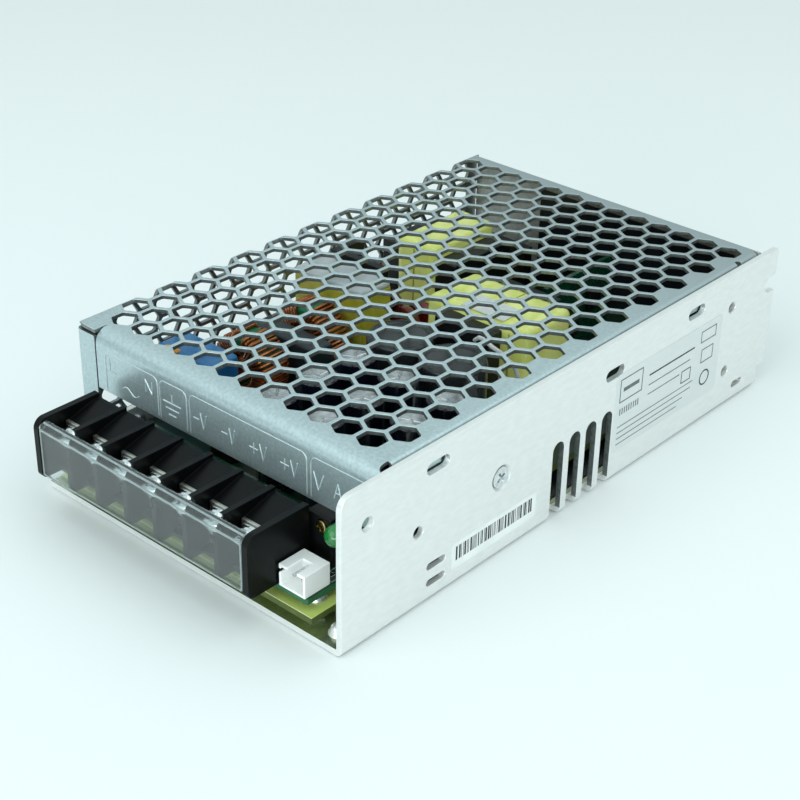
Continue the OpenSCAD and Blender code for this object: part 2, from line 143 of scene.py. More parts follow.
def from_bm(name, bm, mat=None, smooth=True, angle=35, weighted=True, body="case", recalc=True):
    me = bpy.data.meshes.new(name)
    bm.to_mesh(me)
    bm.free()
    return finish_mesh(name, me, mat, smooth, angle, weighted, body, recalc)


def sharp_edges(bm, deg):
    lim = math.radians(deg)
    out = []
    for e in bm.edges:
        if len(e.link_faces) == 2 and e.calc_face_angle(0) > lim:
            out.append(e)
    return out


def rounded(node, width, segs=2, mat=None, deg=30, name=None, dissolve=True):
    """a copy of a CAD node's mesh with its edges rounded"""
    src = N[node].data
    bm = bmesh.new()
    bm.from_mesh(src)
    bmesh.ops.remove_doubles(bm, verts=bm.verts, dist=2e-6)
    if dissolve:
        bmesh.ops.dissolve_limit(bm, angle_limit=math.radians(1.0), verts=bm.verts, edges=bm.edges)
    bmesh.ops.bevel(bm, geom=sharp_edges(bm, deg), offset=width * MM, offset_type="OFFSET", segments=segs,
                    profile=0.5, affect="EDGES", clamp_overlap=True)
    body = N[node]["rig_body"]
    ob = from_bm(name or node + "_form", bm, mat, body=body, recalc=False)
    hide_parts(node)
    return ob


def bm_box(bm, lo, hi, r=0.0, segs=2, mi=0):
    """adds a box with rounded edges, corners in case mm"""
    lo, hi = P(*lo), P(*hi)
    c = (lo + hi) / 2
    s = hi - lo
    old = set(bm.faces)
    g = bmesh.ops.create_cube(bm, size=1.0, matrix=Matrix.Translation(c) @ Matrix.Diagonal((s.x, s.y, s.z, 1)))
    if r > 0:
        es = list(set(e for v in g["verts"] for e in v.link_edges))
        bmesh.ops.bevel(bm, geom=es, offset=r * MM, offset_type="OFFSET", segments=segs, profile=0.5,
                        affect="EDGES", clamp_overlap=True)
    fs = [f for f in bm.faces if f not in old]
    for f in fs:
        f.material_index = mi
    return fs


def lathe(bm, profile, segs, matrix, mi=0, closed_top=True):
    """profile: list of (r, z) in mm, turned about z, placed by matrix (metres)"""
    rings = []
    for r, z in profile:
        if r < 1e-6:
            rings.append([bm.verts.new(matrix @ Vector((0, 0, z * MM)))])
        else:
            rings.append([bm.verts.new(matrix @ Vector((r * MM * math.cos(2 * math.pi * i / segs),
                                                        r * MM * math.sin(2 * math.pi * i / segs), z * MM)))
                          for i in range(segs)])
    fs = []
    for a, b in zip(rings[:-1], rings[1:]):
        for i in range(segs):
            j = (i + 1) % segs
            if len(a) == 1 and len(b) == 1:
                continue
            if len(a) == 1:
                fs.append(bm.faces.new((a[0], b[i], b[j])))
            elif len(b) == 1:
                fs.append(bm.faces.new((a[i], b[0], a[j])))
            else:
                fs.append(bm.faces.new((a[i], b[i], b[j], a[j])))
    for f in fs:
        f.material_index = mi
    return fs


def tube(bm, pts, radius, sides=8, closed=False, mi=0, flat=1.0, up=None):
    """sweeps a round section along points (metres)"""
    pts = [Vector(p) for p in pts]
    n = len(pts)
    tang = []
    for i in range(n):
        if closed:
            t = pts[(i + 1) % n] - pts[i - 1]
        else:
            t = pts[min(i + 1, n - 1)] - pts[max(i - 1, 0)]
        tang.append(t.normalized())
    ref = Vector(up) if up else (Vector((0, 0, 1)) if abs(tang[0].z) < 0.9 else Vector((1, 0, 0)))
    a = (ref - tang[0] * ref.dot(tang[0])).normalized()
    rings = []
    for i in range(n):
        a = (a - tang[i] * a.dot(tang[i])).normalized()
        if up:
            a = (Vector(up) - tang[i] * Vector(up).dot(tang[i])).normalized()
        b = tang[i].cross(a)
        rings.append([bm.verts.new(pts[i] + (a * math.cos(2 * math.pi * k / sides) * flat
                                            + b * math.sin(2 * math.pi * k / sides)) * radius)
                      for k in range(sides)])
    fs = []
    m = n if closed else n - 1
    for i in range(m):
        r0, r1 = rings[i], rings[(i + 1) % n]
        for k in range(sides):
            fs.append(bm.faces.new((r0[k], r0[(k + 1) % sides], r1[(k + 1) % sides], r1[k])))
    if not closed:
        fs.append(bm.faces.new(rings[0][::-1]))
        fs.append(bm.faces.new(rings[-1]))
    for f in fs:
        f.material_index = mi
    return fs


# ------------------------------------------------------------------ flat sheet, cut, folded and edge-rounded
def offset_poly(poly, d):
    """moves a counter-clockwise outline outward by d"""
    p = np.asarray(poly, float)
    nx = np.roll(p, -1, 0) - p
    nx /= np.linalg.norm(nx, axis=1)[:, None]
    n_next = np.stack([nx[:, 1], -nx[:, 0]], 1)
    n_prev = np.roll(n_next, 1, 0)
    m = n_next + n_prev
    m /= np.linalg.norm(m, axis=1)[:, None]
    c = np.maximum((m * n_next).sum(1), 0.5)
    return p + m * (d / c)[:, None]


def ccw(poly):
    p = np.asarray(poly, float)
    a = (p[:, 0] * np.roll(p[:, 1], -1) - np.roll(p[:, 0], -1) * p[:, 1]).sum()
    return p if a > 0 else p[::-1].copy()


def inside(px, py, poly):
    x, y = poly[:, 0], poly[:, 1]
    res = np.zeros(len(px), bool)
    j = len(poly) - 1
    for i in range(len(poly)):
        if y[i] != y[j]:
            c = (y[i] > py) != (y[j] > py)
            xi = (x[j] - x[i]) * (py - y[i]) / (y[j] - y[i]) + x[i]
            res ^= c & (px < xi)
        j = i
    return res


def inside_bb(px, py, poly):
    lo, hi = poly.min(0), poly.max(0)
    idx = np.nonzero((px >= lo[0]) & (px <= hi[0]) & (py >= lo[1]) & (py <= hi[1]))[0]
    res = np.zeros(len(px), bool)
    if len(idx):
        res[idx] = inside(px[idx], py[idx], poly)
    return res


def circle_pts(cx, cy, r, n=28):
    return [(cx + r * math.cos(2 * math.pi * i / n), cy + r * math.sin(2 * math.pi * i / n)) for i in range(n)]


def slot_pts(cx, cy, l, w, n=9):
    r = w / 2
    d = (l - w) / 2
    out = []
    for i in range(n):
        a = -math.pi / 2 + math.pi * i / (n - 1)
        out.append((cx + d + r * math.cos(a), cy + r * math.sin(a)))
    for i in range(n):
        a = math.pi / 2 + math.pi * i / (n - 1)
        out.append((cx - d + r * math.cos(a), cy + r * math.sin(a)))
    return out


def sheet_mesh(outline, holes, t, mapping, lines=(), grid=6.0, b=0.12, steps=2, keepoff=0.9):
    """verts (case mm) and faces of a sheet of thickness t with rounded edges"""
    outline = ccw(outline)
    holes = [ccw(h) for h in holes]
    top_out = offset_poly(outline, -b)
    top_holes = [offset_poly(h, b) for h in holes]
    coords, edges = [], []

    def loop(p):
        s = len(coords)
        coords.extend([tuple(q) for q in p])
        edges.extend([(s + i, s + (i + 1) % len(p)) for i in range(len(p))])
    loop(top_out)
    for h in top_holes:
        loop(h)
    for a, c in lines:
        s = len(coords)
        coords.extend([tuple(a), tuple(c)])
        edges.append((s, s + 1))
    lo, hi = outline.min(0), outline.max(0)
    gx, gy = np.meshgrid(np.arange(lo[0] + grid / 2, hi[0], grid), np.arange(lo[1] + grid / 2, hi[1], grid))
    gx, gy = gx.ravel(), gy.ravel()
    keep = inside(gx, gy, offset_poly(outline, -keepoff))
    for h in holes:
        keep &= ~inside_bb(gx, gy, offset_poly(h, keepoff))
    coords.extend(zip(gx[keep], gy[keep]))
    res = delaunay_2d_cdt([Vector(c) for c in coords], edges, [], 0, 1e-5)
    vv = np.array([tuple(v) for v in res[0]])
    tri = np.array([f for f in res[2] if len(f) == 3], int)
    cx, cy = vv[tri, 0].mean(1), vv[tri, 1].mean(1)
    ok = inside(cx, cy, top_out)
    for h in top_holes:
        ok &= ~inside_bb(cx, cy, h)
    tri = tri[ok]
    # orient
    a, bb_, c = vv[tri[:, 0]], vv[tri[:, 1]], vv[tri[:, 2]]
    area = (bb_[:, 0] - a[:, 0]) * (c[:, 1] - a[:, 1]) - (bb_[:, 1] - a[:, 1]) * (c[:, 0] - a[:, 0])
    tri = tri[np.abs(area) > 1e-9]
    area = area[np.abs(area) > 1e-9]
    tri[area < 0] = tri[area < 0][:, ::-1]
    directed = {}
    for f in tri:
        for i in range(3):
            directed[(int(f[i]), int(f[(i + 1) % 3]))] = True
    bound = [e for e in directed if (e[1], e[0]) not in directed]
    nrm = {}
    for i, j in bound:
        d = vv[j] - vv[i]
        d /= np.linalg.norm(d)
        n_ = np.array([d[1], -d[0]])
        nrm.setdefault(i, []).append(n_)
        nrm.setdefault(j, []).append(n_)
    bidx = sorted(nrm)
    pos = {v: k for k, v in enumerate(bidx)}
    off = []
    for v in bidx:
        ns = nrm[v]
        m = sum(ns)
        m /= np.linalg.norm(m)
        off.append(m / max(0.5, float(m @ ns[0])))
    off = np.array(off)
    bv = vv[bidx]
    used = sorted(set(tri.ravel()))
    remap = {v: k for k, v in enumerate(used)}
    nu = len(used)
    uu = vv[used]
    blocks = [mapping(uu[:, 0], uu[:, 1], np.zeros(nu)), mapping(uu[:, 0], uu[:, 1], np.full(nu, t))]
    faces = [tuple(remap[int(v)] for v in f) for f in tri]
    faces += [tuple(remap[int(v)] + nu for v in f[::-1]) for f in tri]
    inner = [0] * len(tri) + [1] * len(tri)
    rings = [[remap[v] for v in bidx]]
    count = 2 * nu
    prof = [(b * math.sin(math.pi / 2 * k / steps), b * (1 - math.cos(math.pi / 2 * k / steps)))
            for k in range(1, steps + 1)]
    prof += [(o, t - d) for o, d in prof[::-1]]
    for o, d in prof:
        q = bv + off * o
        blocks.append(mapping(q[:, 0], q[:, 1], np.full(len(q), d)))
        rings.append(list(range(count, count + len(q))))
        count += len(q)
    rings.append([remap[v] + nu for v in bidx])
    for k, (r0, r1) in enumerate(zip(rings[:-1], rings[1:])):
        for i, j in bound:
            pi, pj = pos[i], pos[j]
            faces.append((r0[pj], r0[pi], r1[pi], r1[pj]))
            inner.append(1 if k >= steps else 0)
    return np.concatenate(blocks), faces, inner


def case_verts(v):
    return [((x - OX) * MM, (y - OY) * MM, z * MM) for x, y, z in v]


# ------------------------------------------------------------------ materials
def lin(c):
    return tuple((v / 255 / 12.92) if v / 255 <= 0.04045 else ((v / 255 + 0.055) / 1.055) ** 2.4 for v in c) + (1.0,)


def material(name, col, col2=None, scale=300.0, detail=3.0, rough=0.45, rvar=0.08, metallic=0.0, bump=0.15,
             bdist=0.00005, bscale=None, stretch=(1, 1, 1), spec=0.5, coat=0.0, coat_rough=0.1, transmission=0.0,
             ior=1.45, kind="noise", aniso=0.0, mixpow=(0.35, 0.65), sss=0.0, emission=0.0):
    m = bpy.data.materials.new(name)
    m.use_nodes = True
    nt = m.node_tree
    nt.nodes.clear()
    out = nt.nodes.new("ShaderNodeOutputMaterial")
    b = nt.nodes.new("ShaderNodeBsdfPrincipled")
    nt.links.new(b.outputs["BSDF"], out.inputs["Surface"])
    tc = nt.nodes.new("ShaderNodeTexCoord")
    mp = nt.nodes.new("ShaderNodeMapping")
    mp.inputs["Scale"].default_value = stretch
    nt.links.new(tc.outputs["Object"], mp.inputs["Vector"])
    if kind == "voronoi":
        tx = nt.nodes.new("ShaderNodeTexVoronoi")
        tx.inputs["Scale"].default_value = scale
        fac = tx.outputs["Color"]
    else:
        tx = nt.nodes.new("ShaderNodeTexNoise")
        tx.inputs["Scale"].default_value = scale
        tx.inputs["Detail"].default_value = detail
        fac = tx.outputs["Fac"]
    nt.links.new(mp.outputs["Vector"], tx.inputs["Vector"])
    ramp = nt.nodes.new("ShaderNodeValToRGB")
    ramp.color_ramp.elements[0].position = mixpow[0]
    ramp.color_ramp.elements[1].position = mixpow[1]
    c1 = lin(col)
    c2 = lin(col2) if col2 else tuple(v * 0.88 for v in c1[:3]) + (1.0,)
    ramp.color_ramp.elements[0].color = c2
    ramp.color_ramp.elements[1].color = c1
    nt.links.new(fac, ramp.inputs["Fac"])
    nt.links.new(ramp.outputs["Color"], b.inputs["Base Color"])
    mr = nt.nodes.new("ShaderNodeMapRange")
    mr.inputs["To Min"].default_value = max(0.02, rough - rvar)
    mr.inputs["To Max"].default_value = min(1.0, rough + rvar)
    tx2 = nt.nodes.new("ShaderNodeTexNoise")
    tx2.inputs["Scale"].default_value = (bscale or scale * 2.3)
    tx2.inputs["Detail"].default_value = 4.0
    nt.links.new(mp.outputs["Vector"], tx2.inputs["Vector"])
    nt.links.new(tx2.outputs["Fac"], mr.inputs["Value"])
    nt.links.new(mr.outputs["Result"], b.inputs["Roughness"])
    bp = nt.nodes.new("ShaderNodeBump")
    bp.inputs["Strength"].default_value = bump
    bp.inputs["Distance"].default_value = bdist
    nt.links.new(tx2.outputs["Fac"], bp.inputs["Height"])
    nt.links.new(bp.outputs["Normal"], b.inputs["Normal"])
    b.inputs["Metallic"].default_value = metallic
    b.inputs["Specular IOR Level"].default_value = spec
    b.inputs["Coat Weight"].default_value = coat
    b.inputs["Coat Roughness"].default_value = coat_rough
    b.inputs["Transmission Weight"].default_value = transmission
    b.inputs["IOR"].default_value = ior
    b.inputs["Anisotropic"].default_value = aniso
    if sss:
        b.inputs["Subsurface Weight"].default_value = sss
        b.inputs["Subsurface Scale"].default_value = 0.001
    if emission:
        b.inputs["Emission Color"].default_value = c1
        b.inputs["Emission Strength"].default_value = emission
    return m


M = {
    "plate": material("side_metal", (237, 238, 236), (232, 233, 231), scale=700, rough=0.34, rvar=0.03, metallic=0.62,
                      bump=0.12, bdist=0.00002, bscale=1500, stretch=(0.5, 1, 1.2)),
    "galv": material("galvanised_metal", (196, 212, 215), (180, 197, 200), scale=1300, detail=6, rough=0.36, rvar=0.05,
                     metallic=0.80, bump=0.14, bdist=0.00002, bscale=2600),
    "black": material("block_plastic", (8, 9, 10), (5, 6, 7), scale=260, rough=0.38, rvar=0.08, bump=0.25,
                      bdist=0.00004, bscale=1800, spec=0.2),
    "clear": material("clear_plastic", (238, 243, 243), (230, 237, 237), scale=60, rough=0.10, rvar=0.02, bump=0.03,
                      bdist=0.00003, bscale=60, transmission=0.955, ior=1.33, spec=1.0),
    # lighter, less clear plastic for the flap's rim: partly the thick rim, partly painted highlight lines
    "clear_rim_painted_highlight": material("clear_plastic_edge_painted_highlight", (232, 242, 243), (218, 230, 232), scale=80, rough=0.16, rvar=0.05,
                          bump=0.1, transmission=0.45, ior=1.45, coat=0.6),
    "nickel": material("plated_metal", (232, 235, 235), (206, 210, 211), scale=700, rough=0.20, rvar=0.06,
                       metallic=1.0, bump=0.12, bdist=0.00003),
    "brass": material("tinned_metal", (208, 208, 198), (182, 182, 172), scale=600, rough=0.32, rvar=0.08,
                      metallic=1.0, bump=0.15, bdist=0.00003),
    "pcb_dark": material("board_green", (14, 74, 48), (9, 56, 38), scale=240, rough=0.28, rvar=0.08, bump=0.12,
                         coat=0.5, bdist=0.00004),
    "insul": material("insulation_film", (24, 27, 33), (16, 18, 22), scale=120, rough=0.32, rvar=0.1, bump=0.3,
                      bdist=0.0001, bscale=60),
    "nylon": material("white_nylon", (253, 253, 251), (247, 248, 246), scale=180, rough=0.38, rvar=0.06, bump=0.1),
    "copper": material("enamel_wire", (198, 116, 54), (140, 72, 30), scale=260, rough=0.22, rvar=0.06, metallic=0.7,
                       bump=0.1, coat=0.5),
    "core_green": material("core_coating", (24, 118, 70), (16, 96, 56), scale=200, rough=0.42, rvar=0.08, bump=0.3,
                           bdist=0.0001, bscale=500),
    "blue": material("blue_epoxy", (44, 128, 188), (32, 108, 168), scale=150, rough=0.30, rvar=0.1, bump=0.25,
                     bdist=0.0001, bscale=260, coat=0.3),
    "orange": material("orange_ink", (220, 160, 52), (200, 140, 42), scale=300, rough=0.5, rvar=0.1, bump=0.1),
    "slate": material("slate_box", (46, 58, 64), (36, 46, 52), scale=160, rough=0.36, rvar=0.08, bump=0.2),
    "grey_film": material("grey_film", (206, 212, 214), (172, 181, 184), scale=120, rough=0.2, rvar=0.08, bump=0.45,
                          bdist=0.0002, bscale=110, coat=0.5),
    "pot_yellow": material("yellow_potting", (206, 198, 70), (182, 174, 52), scale=180, rough=0.4, rvar=0.1,
                           bump=0.4, bdist=0.0001, bscale=320, coat=0.2),
    "sleeve_grey": material("grey_sleeve", (52, 57, 59), (40, 44, 47), scale=90, rough=0.26, rvar=0.05, bump=0.12,
                            coat=0.35, spec=0.4),
    "sleeve_black": material("dark_sleeve", (16, 22, 40), (10, 14, 24), scale=90, rough=0.22, rvar=0.06, bump=0.12,
                             coat=0.6),
    "can": material("can_top", (222, 226, 228), (186, 191, 194), scale=400, rough=0.24, rvar=0.08, metallic=0.95,
                    bump=0.35, bdist=0.00008),
    # emission 0.10 makes the tape glow slightly: painted light
    "tape": material("yellow_tape", (243, 250, 150), (228, 240, 118), scale=70, rough=0.20, rvar=0.08, bump=0.55, emission=0.10,
                     bdist=0.00025, bscale=140, coat=0.8, coat_rough=0.10),
    "tape_deep": material("amber_tape", (206, 206, 92), (180, 180, 70), scale=80, rough=0.28, rvar=0.08, bump=0.4,
                          bdist=0.00015, bscale=150, coat=0.4),
    "ferrite": material("ferrite_black", (24, 26, 28), (16, 18, 19), scale=300, rough=0.45, rvar=0.1, bump=0.35,
                        bdist=0.00008, bscale=900),
    "resin": material("black_resin", (20, 21, 23), (14, 15, 16), scale=280, rough=0.40, rvar=0.08, bump=0.3,
                      bdist=0.00005, bscale=1300),
    "alu": material("sink_metal", (150, 155, 156), (132, 137, 138), scale=420, rough=0.38, rvar=0.08, metallic=0.9,
                    bump=0.15, stretch=(0.3, 1, 1)),
    "ceramic": material("disc_coating", (120, 30, 26), (90, 20, 18), scale=240, rough=0.26, rvar=0.1, bump=0.35,
                        bdist=0.0001, bscale=500, coat=0.6),
    "paper": material("paper_label", (242, 244, 242), (234, 237, 235), scale=260, rough=0.6, rvar=0.08, bump=0.15),
    "label": material("silver_label", (222, 225, 224), (218, 221, 220), scale=120, rough=0.32, rvar=0.03,
                      metallic=0.25, bump=0.04, bdist=0.00002, bscale=200),
    "ink": material("dark_print", (40, 43, 45), (30, 33, 35), scale=500, rough=0.5, rvar=0.1, bump=0.1),
    "ink_grey": material("grey_print", (104, 110, 112), (90, 96, 98), scale=500, rough=0.5, rvar=0.1, bump=0.1),
    "silk": material("white_print", (226, 234, 228), (208, 218, 212), scale=500, rough=0.5, rvar=0.1, bump=0.1),
    "solder": material("solder", (214, 218, 218), (184, 189, 190), scale=400, rough=0.18, rvar=0.08, metallic=1.0,
                       bump=0.2),
    "led": material("green_lens", (40, 150, 70), (28, 124, 54), scale=120, rough=0.10, rvar=0.04, bump=0.05,
                    transmission=0.35, coat=0.6),
    "beige": material("chip_body", (150, 132, 100), (130, 112, 84), scale=400, rough=0.4, rvar=0.08, bump=0.15),
    "screw_gold": material("trimmer_metal", (206, 188, 128), (184, 166, 108), scale=500, rough=0.25, rvar=0.08,
                           metallic=1.0, bump=0.15),
    # darker cut-wall steel: raw cut edge plus painted shade from the case's dark inside
    "vent_wall_raw_and_shade": material("vent_cut_raw_steel_and_shade", (120, 128, 126), (96, 104, 102), scale=900, rough=0.5, rvar=0.08,
                          metallic=0.5, bump=0.15),
    # greenish tint: painted reflection of the board above the floor
    "floor_painted_reflection": material("floor_face_painted_reflection", (176, 184, 160), (164, 172, 148), scale=700, rough=0.24, rvar=0.05,
                            metallic=0.9, bump=0.1, bdist=0.00002, bscale=1500),
    # lighter copy of the inner steel for the rear wall's inside: painted light
    "rear_wall_painted_light": material("rear_wall_steel_painted_light", (196, 194, 190), (178, 177, 173), scale=900, rough=0.4, rvar=0.08,
                            metallic=0.6, bump=0.15),
    # darker copy of the steel for the inside faces: painted shade inside the case
    "inner_face_painted_shade": material("inner_face_steel_painted_shade", (136, 141, 140), (118, 123, 122), scale=900, rough=0.45, rvar=0.08,
                      metallic=0.75, bump=0.15),
}


def board_material_painted_shade():
    """laminate whose colour is mixed to a dark green away from the open front corner: painted shade under the parts"""
    m = material("board_laminate_painted_shade", (204, 220, 120), (190, 208, 108), scale=220, rough=0.38, rvar=0.08, bump=0.1,
                 coat=0.25, bdist=0.00003)
    nt = m.node_tree
    b = next(n for n in nt.nodes if n.type == "BSDF_PRINCIPLED")
    col = b.inputs["Base Color"].links[0].from_socket
    tc = next(n for n in nt.nodes if n.type == "TEX_COORD")
    sep = nt.nodes.new("ShaderNodeSeparateXYZ")
    nt.links.new(tc.outputs["Object"], sep.inputs["Vector"])
    mr = nt.nodes.new("ShaderNodeMapRange")
    mr.inputs["From Min"].default_value = (20 - OX) * MM
    mr.inputs["From Max"].default_value = (29 - OX) * MM
    nt.links.new(sep.outputs["X"], mr.inputs["Value"])
    # dark green mix from x 20 to 29: painted shade under the parts
    mx = nt.nodes.new("ShaderNodeMix")
    mx.data_type = "RGBA"
    mx.inputs["B"].default_value = lin((20, 44, 30))
    nt.links.new(mr.outputs["Result"], mx.inputs["Factor"])
    nt.links.new(col, mx.inputs["A"])
    nt.links.new(mx.outputs["Result"], b.inputs["Base Color"])
    return m


M["pcb"] = board_material_painted_shade()

# ------------------------------------------------------------------ chassis: side plate, floor and low rail, one folded sheet
RB, TB_ = 1.7, 1.5
ARC = (RB - TB_ / 2) * math.pi / 2
S0 = RB - ARC                    # flat coordinate where the floor starts
S1 = S0 - (95.9 - 2 * RB)        # where the rail's fold starts
S2 = S1 - ARC                    # where the rail stands up


def map_chassis(u, v, h):
    x = u.copy()
    y = np.empty_like(u)
    z = np.empty_like(u)
    a = v >= RB
    y[a], z[a] = h[a], v[a]
    a = (v < RB) & (v >= S0)
    th = (RB - v[a]) / ARC * math.pi / 2
    y[a] = RB - (RB - h[a]) * np.cos(th)
    z[a] = RB - (RB - h[a]) * np.sin(th)
    a = (v < S0) & (v >= S1)
    y[a], z[a] = RB + S0 - v[a], h[a]
    a = (v < S1) & (v >= S2)
    th = (S1 - v[a]) / ARC * math.pi / 2
    y[a] = 95.9 - RB + (RB - h[a]) * np.sin(th)
    z[a] = RB - (RB - h[a]) * np.cos(th)
    a = v < S2
    y[a], z[a] = 95.9 - h[a], RB + S2 - v[a]
    return np.stack([x, y, z], 1)


def fl(y):
    """flat coordinate of a floor point at y"""
    return S0 - (y - RB)


def arc_pts(cx, cy, r, a0, a1, n=5):
    return [(cx + r * math.cos(math.radians(a0 + (a1 - a0) * i / n)),
             cy + r * math.sin(math.radians(a0 + (a1 - a0) * i / n))) for i in range(n + 1)]


rail_end = S2 - (9.5 - RB)
ch_out = [(0, fl(93.6)), (16, fl(93.6)), (16, rail_end), (152, rail_end), (152, fl(93.6)), (155.4, fl(93.6)),
          (155.4, 5.6), (159, 5.6), (159, 28.6 - 2.15)]
ch_out += arc_pts(156.7, 28.6, 2.15, 270, 90, 12)
ch_out += [(159, 28.6 + 2.15)]
ch_out += arc_pts(158, 37, 1.0, 0, 90, 4) + arc_pts(3, 35, 3.0, 90, 180, 6)
ch_holes = []
for cx, cz in ((28.7, 33.1), (90.2, 29.6), (122.9, 33.1)):
    ch_holes.append(slot_pts(cx, cz, 7.1, 2.9))
for cx, cz, l in ((28.8, 8.9, 6.0), (28.8, 4.7, 6.0), (146, 4.6, 5.0)):
    ch_holes.append(slot_pts(cx, cz, l, 1.7))
for k in range(4):
    cx = 70.1 + 6.1 * k
    bot = fl(3.0)
    ch_holes.append([(cx + 2, bot + 0.5), (cx + 2, 18.1)] + arc_pts(cx, 18.1, 2.0, 15, 165, 10)
                    + [(cx - 2, 18.1), (cx - 2, bot + 0.5), (cx - 1.5, bot), (cx + 1.5, bot)])
for cx, cz, r in ((22.9, 19.3, 1.6), (139.3, 28.3, 1.6), (139.3, 10.5, 1.6), (7.6, 28.9, 1.7), (49.8, 20.2, 3.1)):
    ch_holes.append(circle_pts(cx, cz, r))
for cx, cy in ((6.2, 13.2), (80.5, 64), (150, 13.2), (150, 89.5)):
    ch_holes.append(circle_pts(cx, fl(cy), 1.25, 20))
for cx in (22, 138):
    for cy in (26, 82):
        ch_holes.append(circle_pts(cx, fl(cy), 1.6, 24))
ch_lines = []
for k in range(6):
    for s in (RB - ARC * k / 5, S1 - ARC * k / 5):
        if s < S1 + 0.01:
            ch_lines.append(((16.0, s), (152.0, s)))
        else:
            ch_lines.append(((-0.5, s), (156.0, s)))
vs, fs, _ = sheet_mesh(ch_out, ch_holes, TB_, map_chassis, ch_lines, grid=7.0, b=0.16, steps=3)
me = bpy.data.meshes.new("chassis_sheet")
me.from_pydata(case_verts(vs), [], fs)
bm = bmesh.new()
bm.from_mesh(me)
bpy.data.meshes.remove(me)
to_y = Matrix.Rotation(math.radians(-90), 4, "X")        # local z runs along +y
# countersink of the heatsink screw
lathe(bm, [(3.08, 0.16), (2.0, 1.15), (1.72, 1.2), (1.72, 1.45), (3.08, 1.47), (3.08, 0.16)], 40,
      Matrix.Translation(P(49.8, 0, 20.2)) @ to_y)
# screw threads in the tapped holes
for cx, cz, r in ((22.9, 19.3, 1.6), (139.3, 28.3, 1.6), (139.3, 10.5, 1.6)):
    mt = Matrix.Translation(P(cx, 0, cz)) @ to_y
    prof = []
    for k in range(5):
        prof += [(r + 0.02, 0.16 + 0.25 * k), (r - 0.2, 0.285 + 0.25 * k)]
    prof += [(r + 0.02, 1.41), (r + 0.3, 1.41), (r + 0.3, 0.2), (r + 0.02, 0.16)]
    lathe(bm, prof, 28, mt)
# pressed stud in the front corner of the floor
lathe(bm, [(2.3, -0.02), (2.3, 0.15), (1.9, 0.55), (1.75, 1.3), (1.5, 1.75), (0.9, 2.0), (0, 2.05)], 28,
      Matrix.Translation(P(4.6, 5.0, 1.5)))
bmesh.ops.remove_doubles(bm, verts=bm.verts, dist=1e-8)
chassis = from_bm("chassis_sheet", bm, M["plate"], angle=50)
chassis.data.materials.append(M["vent_wall_raw_and_shade"])
chassis.data.materials.append(M["floor_painted_reflection"])
for p_ in chassis.data.polygons:        # the floor's inside is shinier, and its greenish colour is a painted reflection of the underside of the board
    if p_.normal.z > 0.95 and p_.center.z < 2.2 * MM and p_.center.y > (2.5 - OY) * MM:
        p_.material_index = 2
for p_ in chassis.data.polygons:        # the cut walls of the side vents are darker: raw cut steel, with painted shade from the dark inside of the case
    cx, cz = p_.center.x / MM + OX, p_.center.z / MM
    if abs(p_.normal.y) < 0.3 and 64 < cx < 94 and 3.0 < cz < 24 and p_.center.y < (1.6 - OY) * MM:
        p_.material_index = 1
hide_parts("chassis")

# ------------------------------------------------------------------ mesh cover
ZT, TC = 37.1, 1.0
LA = 3.1 * math.pi / 2
WA = 1.1 * math.pi / 2
EY, ER = 3.05, 1.06               # right edge: its outer face, and its fold's outer radius
EA = (ER - 0.5) * math.pi / 2
EV = EY + ER


def map_cover(u, v, h):
    x, y = u.copy(), v.copy()
    z = ZT - h
    # right edge fold
    a = (v < EV) & (u >= 17.9) & (u <= 154.1)
    b = a & (v >= EV - EA)
    th = (EV - v[b]) / EA * math.pi / 2
    y[b] = EV - (ER - h[b]) * np.sin(th)
    z[b] = ZT - ER + (ER - h[b]) * np.cos(th)
    b = a & (v < EV - EA)
    y[b] = EY + h[b]
    z[b] = ZT - ER - (EV - EA - v[b])
    # front lip
    a = (u < 17.1) & (v < 90.08)
    b = a & (u >= 17.1 - LA)
    th = (17.1 - u[b]) / LA * math.pi / 2
    x[b] = 17.1 - (3.6 - h[b]) * np.sin(th)
    z[b] = 33.5 + (3.6 - h[b]) * np.cos(th)
    b = a & (u < 17.1 - LA)
    x[b] = 13.5 + h[b]
    z[b] = 33.5 - (17.1 - LA - u[b])
    # rear wall
    a = (u > 154.6) & (v < 95.41)
    b = a & (u <= 154.6 + WA)
    th = (u[b] - 154.6) / WA * math.pi / 2
    x[b] = 154.6 + (1.6 - h[b]) * np.sin(th)
    z[b] = 35.5 + (1.6 - h[b]) * np.cos(th)
    b = a & (u > 154.6 + WA)
    x[b] = 156.2 - h[b]
    z[b] = 35.5 - (u[b] - 154.6 - WA)
    # far side wall
    a = v > 95.4
    b = a & (v <= 95.4 + WA)
    th = (v[b] - 95.4) / WA * math.pi / 2
    y[b] = 95.4 + (1.6 - h[b]) * np.sin(th)
    z[b] = 35.5 + (1.6 - h[b]) * np.cos(th)
    b = a & (v > 95.4 + WA)
    y[b] = 97 - h[b]
    z[b] = 35.5 - (v[b] - 95.4 - WA)
    # post, folded from the front end of the wall
    a = (v > 97.18) & (u < 15.1)
    b = a & (u >= 15.1 - WA)
    th = (15.1 - u[b]) / WA * math.pi / 2
    x[b] = 15.1 - (1.6 - h[b]) * np.sin(th)
    y[b] = 95.4 + (1.6 - h[b]) * np.cos(th)
    b = a & (u < 15.1 - WA)
    x[b] = 13.5 + h[b]
    y[b] = 95.4 - (15.1 - WA - u[b])
    return np.stack([x, y, z], 1)


